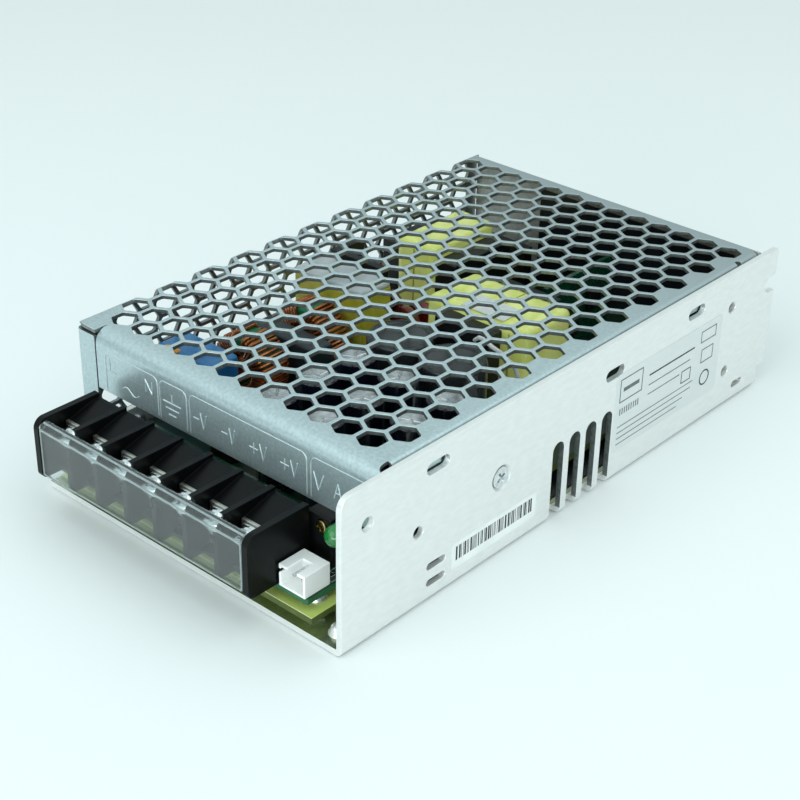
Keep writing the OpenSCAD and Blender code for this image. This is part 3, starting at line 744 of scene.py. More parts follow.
lip_u = 17.1 - LA - (33.5 - 22.3)
post_u = 15.1 - WA - 5.0
rear_u = 154.6 + WA + (35.5 - 1.8)
wall_v = 95.4 + WA + (35.5 - 1.2)
edge_v = EV - EA - (ZT - ER - 30.6)
cov_out = [(lip_u, EY), (14.8, EY)] + arc_pts(16.1, EY, 1.25, 180, 90, 5)[1:] + [(17.85, EV + 0.2)]
cov_out += [(18.0, EV + 0.2), (18.0, edge_v)]
cov_out += [(154.0, edge_v), (154.0, EV + 0.15), (154.6, EV + 0.15), (154.9, EY), (rear_u, EY), (rear_u, 95.2),
            (155.2, 95.2), (155.2, 95.5), (156.1, 95.5), (156.1, wall_v), (15.6, wall_v), (15.0, 130.83),
            (post_u, 130.83), (post_u, 97.7), (post_u + 0.5, 97.25), (15.2, 97.25), (15.2, 97.08), (14.75, 96.75), (14.1, 95.7), (13.75, 94.6),
            (13.7, 90.25),
            (17.15, 90.25), (17.15, 90.0), (lip_u, 90.0)]


def hex_pts(cx, cy, rad=3.464, cut=0.28):
    out = []
    for i in range(6):
        a = math.radians(60 * i)
        vx, vy = cx + rad * math.cos(a), cy + rad * math.sin(a)
        for s in (-1, 1):
            b_ = math.radians(60 * (i + s))
            wx, wy = cx + rad * math.cos(b_), cy + rad * math.sin(b_)
            d = math.hypot(wx - vx, wy - vy)
            out.append((vx + (wx - vx) / d * cut, vy + (wy - vy) / d * cut))
    return out


cov_holes = []
for n in range(22):
    x = 22 + 6.0622 * n
    ks = [k for k in range(-3, 14) if not (k == 9 and n == 0)] if n % 2 == 0 else [k - 0.5 for k in range(-3, 14)]
    for k in ks:
        cov_holes.append(hex_pts(x, 33.3 + 7 * k))
cov_holes.append(circle_pts(146, EV - EA / 2, 0.9, 16))
for cx in (28.06, 137.18):
    cov_holes.append(circle_pts(cx, 95.4 + WA + 35.5 - 5.5, 1.7, 20))
cl = []
for k in range(7):
    cl.append(((17.1 - LA * k / 6, 3.0), (17.1 - LA * k / 6, 90.1)))
for k in range(5):
    cl.append(((154.6 + WA * k / 4, 3.0), (154.6 + WA * k / 4, 95.3)))
    cl.append(((13.6, 95.4 + WA * k / 4), (156.3, 95.4 + WA * k / 4)))
    cl.append(((15.1 - WA * k / 4, 97.2), (15.1 - WA * k / 4, 131.0)))
for k in range(4):
    cl.append(((17.9, EV - EA * k / 3), (154.1, EV - EA * k / 3)))
vs, fs, inner = sheet_mesh(cov_out, cov_holes, TC, map_cover, cl, grid=8.0, b=0.11, steps=2)
me = bpy.data.meshes.new("mesh_cover_sheet")
me.from_pydata(case_verts(vs), [], fs)
me.polygons.foreach_set("material_index", inner)
bm = bmesh.new()
bm.from_mesh(me)
bpy.data.meshes.remove(me)
for cx in (28.7, 122.9):
    bm_box(bm, (cx - 2.8, 1.62, 31.9), (cx + 2.8, EY + 0.3, 34.3), 0.25, 2)
def darker_to_the_rear(m):
    """the base colour is mixed darker towards the rear of the case"""
    nt = m.node_tree
    b = next(n for n in nt.nodes if n.type == "BSDF_PRINCIPLED")
    col = b.inputs["Base Color"].links[0].from_socket
    tc = next(n for n in nt.nodes if n.type == "TEX_COORD")
    sep = nt.nodes.new("ShaderNodeSeparateXYZ")
    nt.links.new(tc.outputs["Object"], sep.inputs["Vector"])
    mr = nt.nodes.new("ShaderNodeMapRange")
    mr.inputs["From Min"].default_value = (70 - OX) * MM
    mr.inputs["From Max"].default_value = (156 - OX) * MM
    nt.links.new(sep.outputs["X"], mr.inputs["Value"])
    mx = nt.nodes.new("ShaderNodeMix")
    mx.data_type = "RGBA"
    mx.inputs["B"].default_value = lin((166, 178, 180))
    nt.links.new(mr.outputs["Result"], mx.inputs["Factor"])
    nt.links.new(col, mx.inputs["A"])
    nt.links.new(mx.outputs["Result"], b.inputs["Base Color"])


darker_to_the_rear(M["galv"])
cover = from_bm("mesh_cover_sheet", bm, M["galv"], angle=50)
# inner faces get the darker copy (painted shade), the rear wall's inside the lighter copy (painted light)
cover.data.materials.append(M["inner_face_painted_shade"])
cover.data.materials.append(M["rear_wall_painted_light"])
for p_ in cover.data.polygons:
    if p_.material_index == 1 and p_.center.x > (153 - OX) * MM and abs(p_.normal.x) > 0.9:
        p_.material_index = 2
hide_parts("mesh_cover")

# ------------------------------------------------------------------ small helpers for placed parts
def frame_at(p, axis, up=(0, 0, 1)):
    """matrix whose local z is the axis, at case point p"""
    z = Vector(axis).normalized()
    u = Vector(up)
    if abs(z.dot(u)) > 0.95:
        u = Vector((1, 0, 0))
    x = u.cross(z).normalized()
    y = z.cross(x)
    m = Matrix(((x.x, y.x, z.x), (x.y, y.y, z.y), (x.z, y.z, z.z))).to_4x4()
    return Matrix.Translation(P(*p)) @ m


def piece(name, mats, body="case", nodes=(), angle=35):
    """returns a bmesh and the call that turns it into a piece"""
    bm = bmesh.new()

    def done(recalc=True):
        me = bpy.data.meshes.new(name)
        bm.to_mesh(me)
        bm.free()
        ob = finish_mesh(name, me, None, True, angle, True, body, recalc)
        for m in mats:
            ob.data.materials.append(M[m])
        if nodes:
            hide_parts(*nodes)
        return ob
    return bm, done


def extrude_poly(bm, pts, vec, bev=0.0, mi=0, segs=2):
    """pts: case mm points of a planar outline; vec: case mm direction"""
    old = set(bm.faces)
    v0 = [bm.verts.new(P(*p)) for p in pts]
    v1 = [bm.verts.new(P(p[0] + vec[0], p[1] + vec[1], p[2] + vec[2])) for p in pts]
    fs = [bm.faces.new(v0), bm.faces.new(v1[::-1])]
    n = len(pts)
    for i in range(n):
        bm.faces.new((v0[i], v1[i], v1[(i + 1) % n], v0[(i + 1) % n]))
    if bev:
        es = set()
        for f in fs[:2]:
            es.update(f.edges)
        bmesh.ops.bevel(bm, geom=list(es), offset=bev * MM, offset_type="OFFSET", segments=segs, profile=0.5,
                        affect="EDGES", clamp_overlap=True)
    new = [f for f in bm.faces if f not in old]
    for f in new:
        f.material_index = mi
    return new


def screw_head(bm, p, axis, profile, recess_r, recess_w, depth, segs=32, mi=0, turn=0.0):
    """a turned head whose flat top carries a cross recess; profile runs from the rim to the flat top's edge"""
    m = frame_at(p, axis) @ Matrix.Rotation(turn, 4, "Z")
    fs = lathe(bm, profile, segs, m, mi)
    # last ring
    rt, zt = profile[-1]
    ring = []
    for i in range(segs):
        co = m @ Vector((rt * MM * math.cos(2 * math.pi * i / segs), rt * MM * math.sin(2 * math.pi * i / segs),
                         zt * MM))
        ring.append(co)
    # rebuild the flat top as cdt with the cross hole
    pts = []
    a, b = recess_w / 2, recess_r
    for k in range(4):
        c, s = math.cos(math.pi / 2 * k), math.sin(math.pi / 2 * k)
        for px, py in ((b, -a), (b, a), (a, a)):
            pts.append((px * c - py * s, px * s + py * c))
    outer = [(rt * math.cos(2 * math.pi * i / segs), rt * math.sin(2 * math.pi * i / segs)) for i in range(segs)]
    co = outer + pts
    no, npn = len(outer), len(pts)
    ed = [(i, (i + 1) % no) for i in range(no)] + [(no + i, no + (i + 1) % npn) for i in range(npn)]
    res = delaunay_2d_cdt([Vector(c) for c in co], ed, [], 0, 1e-6)
    cross = np.array(pts)
    vv = [bm.verts.new(m @ Vector((v.x * MM, v.y * MM, zt * MM))) for v in res[0]]
    for f in res[2]:
        cx = sum(res[0][i].x for i in f) / len(f)
        cy = sum(res[0][i].y for i in f) / len(f)
        if not inside(np.array([cx]), np.array([cy]), cross)[0]:
            nf = bm.faces.new([vv[i] for i in f])
            nf.material_index = mi
            fs.append(nf)
    top = [bm.verts.new(m @ Vector((x * MM, y * MM, zt * MM))) for x, y in pts]
    low = [bm.verts.new(m @ Vector((x * 0.62 * MM, y * 0.62 * MM, (zt - depth) * MM))) for x, y in pts]
    for i in range(npn):
        f = bm.faces.new((top[i], top[(i + 1) % npn], low[(i + 1) % npn], low[i]))
        f.material_index = mi
        fs.append(f)
    f = bm.faces.new(low)
    f.material_index = mi
    bmesh.ops.remove_doubles(bm, verts=list(set(v for f in fs if f.is_valid for v in f.verts)), dist=1e-7)
    return m


SL = [m["slot"] for m in frame["record"]["materials"]]


def put(node, mat, width=0.25, segs=2, deg=30):
    ob = rounded(node, width, segs, M[mat], deg)
    return ob


# ------------------------------------------------------------------ boards
def board(node, mat, edge, width=0.12):
    ob = rounded(node, width, 1, M[mat], 30)
    ob.data.materials.append(M[edge])
    for p in ob.data.polygons:
        if abs(p.normal.z) < 0.5:
            p.material_index = 1
    return ob


M["pcb_edge_green"] = material("mask_edge", (44, 104, 66), (34, 88, 54), scale=300, rough=0.45, rvar=0.1, bump=0.3,
                               bdist=0.00005, bscale=1500)


M["pcb_edge"] = material("laminate_edge", (84, 96, 36), (66, 78, 26), scale=300, rough=0.5, rvar=0.1, bump=0.3,
                         bdist=0.00005, bscale=1500)
# bright, slightly emissive rim colour: painted highlight on the board's edge
M["pcb_rim"] = material("laminate_rim_painted_highlight", (246, 248, 214), (236, 240, 196), scale=300, rough=0.4, rvar=0.1, bump=0.2,
                        bdist=0.00003, bscale=1500, emission=0.06)
main_board = board("main_board", "pcb", "pcb_edge", 0.14)
main_board.data.materials.append(M["pcb_rim"])
for p_ in main_board.data.polygons:     # the scored rim along the open front gets a bright, faintly glowing copy: a painted highlight
    if 0.3 < p_.normal.z < 0.95 and p_.center.x < (30 - OX) * MM:
        p_.material_index = 2
board("terminal_board", "pcb_dark", "pcb_edge_green")
put("insulation_sheet", "insul", 0.1, 1)
put("board_spacers", "black", 0.2, 2)

# ------------------------------------------------------------------ standoffs and screws inside
bm, done = piece("standoff_posts", ["nickel"], nodes=["board_standoffs"])
for x, y in ((6.2, 13.2), (80.5, 64), (150, 13.2), (150, 89.5)):
    lathe(bm, [(0, 0.0), (2.3, 0.0), (2.6, 0.25), (2.6, 2.15), (2.35, 2.4), (0, 2.4)], 6, frame_at((x, y, 1.5), (0, 0, 1)))
done()
bm, done = piece("board_screw_heads", ["nickel"], nodes=["board_screws"])
for i, (x, y) in enumerate(((6.2, 13.2), (80.5, 64), (150, 13.2), (150, 89.5))):
    screw_head(bm, (x, y, 5.5), (0, 0, 1), [(2.5, 0.0), (2.6, 0.2), (2.5, 0.8), (2.1, 1.25), (1.45, 1.5)],
               1.1, 0.55, 0.8, 28, 0, 0.4 * i)
done()

# ------------------------------------------------------------------ terminal block
tb = put("terminal_block", "black", 0.24, 3, 25)
bm, done = piece("hinge_caps", ["black"])
for y0, d in ((18.82, 1), (87.28, -1)):
    lathe(bm, [(0, 0), (1.15, 0), (1.2, 0.05), (1.2, 0.1), (0, 0.1)], 24, frame_at((-5.7, y0, 22.2), (0, d, 0)))
done()
bm, done = piece("terminal_contacts", ["brass"], nodes=["terminal_plates"])


def pole_y(k):
    return 19.8 + 9.5 * (k + 0.5)


for k in range(7):
    y = pole_y(k)
    bm_box(bm, (-0.2, y - 3.6, 11.2), (0.8, y + 3.6, 21.3), 0.2, 2)
done()
bm, done = piece("clamp_washers", ["nickel"], nodes=["wire_clamps"])
for k in range(7):
    y = pole_y(k)
    pts = [(-0.9, y - 3.1, 15.4), (-0.9, y + 3.1, 15.4), (-0.9, y + 3.1, 19.6), (-0.9, y + 2.2, 21.0),
           (-0.9, y - 2.2, 21.0), (-0.9, y - 3.1, 19.6)]
    extrude_poly(bm, pts, (0.65, 0, 0), 0.14)
    lathe(bm, [(1.6, 0), (2.7, 0), (2.75, 0.15), (2.7, 0.5), (1.6, 0.5), (1.6, 0)], 28,
          frame_at((-0.85, y, 18.4), (-1, 0, 0)))
done()
bm, done = piece("terminal_screw_set", ["nickel"], nodes=["terminal_screws"])
for k in range(7):
    y = pole_y(k)
    screw_head(bm, (-0.95, y, 18.4), (-1, 0, 0),
               [(2.2, 0.45), (2.9, 0.5), (3.0, 0.65), (3.0, 1.2), (2.85, 1.55), (2.4, 1.82), (1.9, 1.95)],
               1.5, 0.75, 1.0, 36, 0, 0.35 + 0.5 * k)
    lathe(bm, [(0, 0), (1.9, 0), (1.9, 6.6), (1.5, 7.2), (0, 7.2)], 20, frame_at((-0.7, y, 18.4), (1, 0, 0)))
done()

# ------------------------------------------------------------------ flip cover
flap = rounded("terminal_cover", 0.3, 3, M["clear"], 25, name="flip_cover")
# thin tubes along the flap's edges: the rounded rim with painted highlight lines
bm, done = piece("flip_cover_rim_painted_highlight", ["clear_rim_painted_highlight"], body="terminal_flap")
for x_, z_, r_ in ((-7.08, 21.8, 0.28), (-6.0, 23.0, 0.28), (-7.1, 10.25, 0.22)):
    tube(bm, [P(x_, y_, z_) for y_ in (21.0, 40, 60, 85.1)], r_ * MM, 10)
for y_ in (21.0, 85.1):
    tube(bm, [P(-7.12, y_, z_) for z_ in (10.4, 14, 18, 21.7)], 0.2 * MM, 10)
done()

# ------------------------------------------------------------------ header, lamp, trimmer
put("header_housing", "nylon", 0.22, 3, 25)
put("header_pins", "nickel", 0.12, 2)
bm, done = piece("green_lamp", ["led"], nodes=["status_led"])
lathe(bm, [(0, 0.0), (2.9, 0.0), (2.95, 0.1), (2.95, 0.9), (2.85, 1.0), (2.5, 1.0), (2.5, 5.2)]
      + [(2.5 * math.cos(math.radians(a)), 5.2 + 2.5 * math.sin(math.radians(a))) for a in range(10, 90, 10)]
      + [(0, 7.7)], 40, frame_at((15.6, 11.4, 19.4), (-1, 0, 0)))
done()
bm, done = piece("lamp_leads", ["nickel"])
for dy in (-1.27, 1.27):
    tube(bm, [P(15.55, 11.4 + dy, 19.4), P(16.0, 11.4 + dy, 19.3), P(16.15, 11.4 + dy, 18.8), P(16.15, 11.4 + dy, 9.0)],
         0.25 * MM, 6)
done()
put("trimmer_body", "resin", 0.25, 2)
bm, done = piece("trimmer_disc", ["screw_gold"], body="trimmer_rotor",
                 nodes=["trimmer_screw"])
screw_head(bm, (14.3, 17.2, 18.2), (-1, 0, 0), [(1.45, 0.0), (1.5, 0.1), (1.5, 2.2), (1.4, 2.5), (1.2, 2.6)],
           0.9, 0.4, 0.7, 28)
done()


# ------------------------------------------------------------------ capacitors
def can_shape(bm, x, y, r, z0, z1, mi_sleeve=0, mi_top=1, vent="K", turn=0.0):
    m = Matrix.Translation(P(x, y, z0)) @ Matrix.Rotation(turn, 4, "Z")
    h = z1 - z0
    prof = [(0, 0), (r - 0.5, 0), (r - 0.12, 0.2), (r, 0.6), (r, 1.6), (r - 0.35, 2.1), (r - 0.35, 2.5), (r, 3.0),
            (r, h - 0.9), (r - 0.1, h - 0.35), (r - 0.45, h - 0.05), (r - 0.9, h - 0.02), (r - 1.05, h - 0.22)]
    lathe(bm, prof, 48, m, mi_sleeve)
    rt = r - 1.05
    # top disc with pressed vent grooves
    pr = [(rt, h - 0.22), (rt - 0.15, h - 0.28), (0.0, h - 0.28)]
    lathe(bm, pr, 48, m, mi_top)
    g = 0.16

    def groove(a0, a1, w=0.32):
        p0 = Vector((a0[0], a0[1], 0))
        p1 = Vector((a1[0], a1[1], 0))
        d = (p1 - p0).normalized()
        n = Vector((-d.y, d.x, 0))
        zt = h - 0.28 + 0.14
        vs_ = []
        for sgn, zz in ((-1, zt - 0.14), (-0.5, zt), (0.5, zt), (1, zt - 0.14)):
            vs_.append((bm.verts.new(m @ ((p0 + n * w * sgn) * MM + Vector((0, 0, zz * MM)))),
                        bm.verts.new(m @ ((p1 + n * w * sgn) * MM + Vector((0, 0, zz * MM))))))
        for a_, b_ in zip(vs_[:-1], vs_[1:]):
            f = bm.faces.new((a_[0], a_[1], b_[1], b_[0]))
            f.material_index = mi_top
        for e in (0, 1):
            f = bm.faces.new([q[e] for q in vs_])
            f.material_index = mi_top
    q = rt * 0.8
    if vent == "K":
        groove((0, -q), (0, q))
        groove((0, 0), (q * 0.75, q * 0.6))
        groove((0, 0), (q * 0.75, -q * 0.6))
    else:
        groove((-q, 0), (q, 0))
        groove((0, -q), (0, q))


bm, done = piece("bulk_can_pair", ["sleeve_grey"], nodes=["bulk_capacitors"])
for x, y in ((72.6, 49.9), (72.0, 33.0)):
    m = Matrix.Translation(P(x, y, 5.5))
    lathe(bm, [(0, 0), (7.7, 0), (8.1, 0.2), (8.2, 0.6), (8.2, 1.8), (7.8, 2.4), (7.8, 2.9), (8.2, 3.5), (8.2, 21.6),
               (8.1, 22.2), (7.75, 22.6), (7.2, 22.78), (6.7, 22.62), (6.45, 22.3), (6.3, 22.2), (3.0, 22.1), (0, 22.1)],
          56, m)
done()
bm, done = piece("output_can_set", ["sleeve_black", "can"], nodes=["output_capacitors"])
for i, (x, y) in enumerate([(31, 49.5), (43.8, 49.2), (56.4, 49.3), (56.2, 35.6), (56, 20.8), (43.8, 20.6), (43.8, 35),
                            (31, 35)]):
    can_shape(bm, x, y, 5.0, 5.5, 29.0, vent="K", turn=0.7 * i)
done()


# ------------------------------------------------------------------ boxes
def box_piece(name, mat, node, lo, hi, r=0.7, segs=3):
    bm, done = piece(name, [mat], nodes=[node] if node else ())
    bm_box(bm, lo, hi, r, segs)
    return done()


bm, done = piece("line_cap_case", ["blue", "orange"], nodes=["line_capacitor"])
bm_box(bm, (34.2, 75.4, 5.5), (44.2, 94.1, 24.4), 1.3, 4, 0)
bm_box(bm, (34.14, 86.6, 19.6), (36.0, 91.6, 24.46), 0.12, 1, 1)
bm_box(bm, (34.14, 78.4, 10), (34.4, 84.0, 17), 0.05, 1, 1)
done()
box_piece("filter_cap_case", "slate", "filter_capacitor", (59.5, 66, 5.5), (66.3, 88, 22.5), 0.8)
bm, done = piece("film_cap_case", ["grey_film", "pot_yellow"], nodes=["film_capacitor"])
bm_box(bm, (79.5, 69.0, 5.5), (90.5, 92.6, 28.2), 0.7, 3, 1)
bm_box(bm, (79.52, 69.05, 27.6), (90.48, 92.55, 29.8), 1.0, 4, 0)
done()


# ------------------------------------------------------------------ toroid chokes, turn by turn
def rot_x(y, z, yc, zc, a):
    return yc + y * math.cos(a) - z * math.sin(a), zc + y * math.sin(a) + z * math.cos(a)


def toroid(name, xa, xb, yc, zc, ro, ri, core, wire_nodes, core_node, core_mat, sectors, turns, wr=0.42):
    """core from xa to xb with axis X, wound in sectors of angle"""
    bm, done = piece(name + "_core_form", [core_mat], nodes=[core_node])
    m = frame_at((xa, yc, zc), (1, 0, 0))
    w = xb - xa
    r = 0.7
    prof = []
    for cx, cz, a0 in ((ro - r, r, -90), (ro - r, w - r, 0), (ri + r, w - r, 90), (ri + r, r, 180)):
        for k in range(5):
            a = math.radians(a0 + 22.5 * k)
            prof.append((cx + r * math.cos(a), cz + r * math.sin(a)))
    prof.append(prof[0])
    lathe(bm, prof, 64, m, 0)
    bmesh.ops.remove_doubles(bm, verts=bm.verts, dist=1e-7)
    done()
    bm, done = piece(name + "_turns", ["copper"], nodes=[wire_nodes])
    for a0, a1 in sectors:
        path = []
        g = wr + 0.05
        xl, xr = xa - g, xb + g
        rr, rin = ro + g, ri - g
        per = 28
        rc = 1.0
        loop = []
        # cross-section loop round the core in (x, r)
        corners = [(xl, rin, xl + rc, rin), (xr, rin, 0, 0)]
        pts = []
        for cx, cr, s0 in ((xr - rc, rr - rc, 0), (xl + rc, rr - rc, 90), (xl + rc, rin + rc * 0.6, 180),
                           (xr - rc, rin + rc * 0.6, 270)):
            rad_x, rad_r = rc, (rc if s0 in (0, 90) else rc * 0.6)
            for k in range(4):
                a = math.radians(s0 + 30 * k)
                pts.append((cx + rad_x * math.cos(a), cr + rad_r * math.sin(a)))
        n = len(pts)
        total = turns * n
        for i in range(total + 1):
            t = i / total
            px, pr = pts[i % n]
            # the turn advances evenly in angle round the whole loop, with a small jitter in radius
            a = math.radians(a0 + (a1 - a0) * t)
            jit = 0.10 * math.sin(i * 0.37 + a0)
            y_, z_ = yc + (pr + jit) * math.cos(a), zc + (pr + jit) * math.sin(a)
            path.append(P(px, y_, z_))
        tube(bm, path, wr * MM, 7)
    return done()


# ------------------------------------------------------------------ discs, fuse, small parts
bm, done = piece("disc_cap_set", ["ceramic", "nickel"], nodes=["disc_capacitors"])
for x0, x1, y, z in ((100.5, 103.5, 80, 14.8), (94.5, 97.5, 68.6, 15.8), (101, 104, 69.2, 14.8)):
    m = frame_at((x0, y, z), (1, 0, 0))
    t = x1 - x0
    prof = [(0, 0.25)]
    for k in range(9):
        a = math.radians(-80 + 160 * k / 8)
        prof.append((3.6 + 1.0 * math.cos(a), t / 2 + (t / 2 - 0.15) * math.sin(a)))
    prof.append((0, t - 0.25))
    lathe(bm, prof, 40, m, 0)
    for s in (-2.2, 2.2):
        tube(bm, [P((x0 + x1) / 2, y + s * 0.9, z - 3.6), P((x0 + x1) / 2, y + s, z - 6), P((x0 + x1) / 2, y + s, 5.4)],
             0.3 * MM, 6, mi=1)
done()
bm, done = piece("fuse_can", ["resin", "can"], nodes=["line_fuse"])
lathe(bm, [(0, 0), (4.0, 0), (4.2, 0.3), (4.2, 7.2), (3.9, 7.8), (3.4, 8.0), (0, 8.0)], 40,
      Matrix.Translation(P(31.4, 67, 5.5)))
done()
bm, done = piece("bridge_body", ["resin", "nickel"], nodes=["bridge_rectifier"])
extrude_poly(bm, [(141, 66, 8), (141, 86, 8), (141, 86, 20), (141, 84, 22), (141, 66, 22)], (3.4, 0, 0), 0.3)
for y in (68, 73, 78, 84):
    bm_box(bm, (142.3, y - 0.6, 5.4), (143.1, y + 0.6, 8.3), 0.1, 1, 1)
done()

# ------------------------------------------------------------------ power choke and transformer
put("boost_choke_core", "ferrite", 0.35, 2)
put("transformer_core", "ferrite", 0.35, 2)


def taped(name, node, lo, hi, mat, axis, seed, laps, r=1.8, amp=0.22, extra=()):
    """a taped winding: a rounded body, slightly bulged and crumpled, with the tape's laps standing proud"""
    rnd = random.Random(seed)
    bm, done = piece(name, [mat, "tape_deep"], nodes=[node])
    bm_box(bm, lo, hi, r, 4, 0)
    bmesh.ops.subdivide_edges(bm, edges=[e for e in bm.edges if e.calc_length() > 0.004], cuts=13, use_grid_fill=True)
    c = (P(*lo) + P(*hi)) / 2
    ph = [rnd.uniform(0, 6.28) for _ in range(9)]
    # inward only, so that the form keeps inside its box
    for v in bm.verts:
        p = (v.co - c) * 1000
        w = 0.5 + 0.25 * (math.sin(p.x * 0.55 + ph[0] + 0.6 * math.sin(p.y * 0.4 + ph[1]))
                          + math.sin(p.y * 0.5 + p.z * 0.35 + ph[2]))
        w += 0.28 * math.sin(p.x * 1.7 + p.y * 1.1 + ph[3]) * math.sin(p.z * 1.3 + ph[4])
        d = (v.co - c).normalized()
        v.co -= d * (amp * max(0.0, w)) * MM
    k = {"x": 0, "y": 1, "z": 2}[axis]
    for t, width in laps:
        l2, h2 = list(lo), list(hi)
        l2[k], h2[k] = t, t + width
        for q in range(3):
            if q != k:
                l2[q] -= 0.0
                h2[q] += 0.0
        bm_box(bm, tuple(l2), tuple(h2), 0.5 if q else 0.5, 2, 0)
    for lo2, hi2 in extra:
        bm_box(bm, lo2, hi2, 0.12, 1, 1)
    return done()


taped("boost_choke_wrap", "boost_choke_winding", (111.1, 73.3, 6.0), (136.9, 86.2, 29.9), "tape", "x", 5,
      ())
taped("transformer_wrap", "transformer_winding", (89.3, 25.1, 6.0), (108.2, 56.9, 30.9), "tape", "y", 9,
      (), 2.2, 0.42)
bm, done = piece("tape_laps", ["tape_deep"])
bm_box(bm, (89.22, 30.2, 7), (89.5, 30.6, 29.0), 0.08, 1)
bm_box(bm, (90.8, 38.6, 30.62), (106.6, 39.0, 30.86), 0.06, 1)
bm_box(bm, (111.02, 79.6, 8), (111.25, 80.0, 28.0), 0.06, 1)
done()
put("transformer_tag", "paper", 0.03, 1)

toroid("line_choke", 48.2, 55.8, 79.8, 17.0, 8.3, 4.9, None, "line_choke_winding", "line_choke_core", "core_green",
       ((98, 262), (-80, 80)), 21, 0.44)
toroid("filter_choke", 69.2, 76.8, 80.0, 17.2, 8.3, 4.6, None, "filter_choke_winding", "filter_choke_core",
       "core_green", ((106, 256), (-76, 84)), 20, 0.44)
put("choke_bases", "resin", 0.2, 2)

# ------------------------------------------------------------------ heatsinks and power parts
put("output_heatsink", "alu", 0.25, 2)
put("output_rectifiers", "resin", 0.25, 2)
put("line_heatsink", "resin", 0.2, 2)
put("power_transistors", "resin", 0.25, 2)
put("control_board", "pcb_dark", 0.1, 1)
put("control_ics", "resin", 0.15, 2)

# ------------------------------------------------------------------ outside screws
bm, done = piece("cover_screw_pair", ["nickel"], nodes=["cover_screws"])
for i, x in enumerate((28.06, 137.18)):
    m = screw_head(bm, (x, 95.6, 5.5), (0, 1, 0), [(1.5, -2.0), (1.6, 0.2), (2.3, 1.15), (2.35, 1.32), (2.2, 1.36)],
                   1.2, 0.55, 0.7, 32, 0, 0.5 * i)
done()
bm, done = piece("sink_screw_pair", ["nickel"], nodes=["heatsink_screws"])
screw_head(bm, (49.8, 3.0, 20.2), (0, -1, 0), [(1.5, -2.4), (1.5, 1.75), (2.42, 2.5), (2.54, 2.7), (2.5, 2.82), (2.1, 2.88)],
           1.45, 0.62, 0.95, 40, 0, 0.55)
done()

# ------------------------------------------------------------------ labels, bare of any name, ruled like the real kind
bm, done = piece("rating_plate", ["label", "ink_grey", "ink"], nodes=["rating_label"])


def rounded_rect(x0, x1, z0, z1, r, y, n=4):
    pts = []
    for cx, cz, a0 in ((x1 - r, z0 + r, -90), (x1 - r, z1 - r, 0), (x0 + r, z1 - r, 90), (x0 + r, z0 + r, 180)):
        for i in range(n + 1):
            a = math.radians(a0 + 90 * i / n)
            pts.append((cx + r * math.cos(a), y, cz + r * math.sin(a)))
    return pts


extrude_poly(bm, rounded_rect(91, 135, 7.6, 28.4, 0.9, -0.005), (0, -0.075, 0), 0, 0)


def bar(bm, x0, x1, z0, z1, mi, y=-0.08, t=0.03):
    extrude_poly(bm, [(x0, y, z0), (x1, y, z0), (x1, y, z1), (x0, y, z1)], (0, -t, 0), 0, mi)


def frame_lines(bm, x0, x1, z0, z1, w, mi):
    bar(bm, x0, x1, z0, z0 + w, mi)
    bar(bm, x0, x1, z1 - w, z1, mi)
    bar(bm, x0, x0 + w, z0 + w, z1 - w, mi)
    bar(bm, x1 - w, x1, z0 + w, z1 - w, mi)


# blank fields and rules: a heading bar, rows to fill in, small frames, a row of ticks
frame_lines(bm, 92.6, 101.6, 20.6, 26.8, 0.28, 1)
bar(bm, 94.0, 100.2, 23.2, 24.2, 1)
bar(bm, 104.4, 123.4, 23.2, 23.6, 2)
for k_, (xa_, xb_) in enumerate(((104.4, 121.8), (104.4, 117.6))):
    bar(bm, xa_, xb_, 20.6 - 2.5 * k_, 20.85 - 2.5 * k_, 1)
for k_ in range(4):
    bar(bm, 92.6, 92.6 + (25.0, 27.4, 30.6, 31.4)[k_], 9.3 + 1.55 * k_, 9.52 + 1.55 * k_, 1)
frame_lines(bm, 118.6, 122.6, 15.2, 18.6, 0.24, 2)
frame_lines(bm, 126.0, 132.6, 23.4, 26.6, 0.26, 1)
frame_lines(bm, 126.8, 132.0, 17.6, 21.4, 0.26, 1)
ring_m = frame_at((129.3, -0.072, 12.9), (0, -1, 0))
lathe(bm, [(1.75, 0), (1.75, 0.03), (2.15, 0.03), (2.15, 0), (1.75, 0)], 32, ring_m, 2)
for k_ in range(9):
    bar(bm, 93.0 + 0.9 * k_, 93.35 + 0.9 * k_, 17.2, 18.9, 1)
done()
bm, done = piece("bar_sticker", ["paper", "ink"], nodes=["serial_label"])
extrude_poly(bm, rounded_rect(33.8, 62.6, 4.2, 10.8, 0.5, -0.01), (0, -0.06, 0), 0.02, 0)
rnd = random.Random(11)
x = 35.1
while x < 60.9:
    w = rnd.choice((0.18, 0.18, 0.36, 0.54))
    bar(bm, x, min(x + w, 61.1), 6.2, 9.7, 1, -0.065, 0.02)
    x += w + rnd.choice((0.2, 0.2, 0.36, 0.5))
done()

# ------------------------------------------------------------------ raised lines pressed into the lip
# lighter copy of the galvanised metal on the raised lines: painted highlight
M["emboss"] = material("pressed_line_painted_highlight", (222, 232, 233), (204, 216, 218), scale=900, rough=0.34, rvar=0.05,
                       metallic=0.7, bump=0.1)
bm, done = piece("lip_marks", ["emboss"])


def mark(pts, r=0.15, closed=False):
    tube(bm, [P(13.5, y, z) for y, z in pts], r * MM, 8, closed, flat=1.0)


def open_box(y0, y1, zt, zb, r=1.6, left=True, right=True):
    pts = []
    if left:
        pts.append((y0, zb))
        pts += [(y0 - r + r * math.cos(math.radians(a)), zt - r + r * math.sin(math.radians(a))) for a in range(0, 91, 18)]
    else:
        pts.append((y0, zt))
    if right:
        pts += [(y1 + r - r * math.sin(math.radians(a)), zt - r + r * math.cos(math.radians(a))) for a in range(0, 91, 18)]
        pts.append((y1, zb))
    else:
        pts.append((y1, zt))
    mark(pts, 0.13)


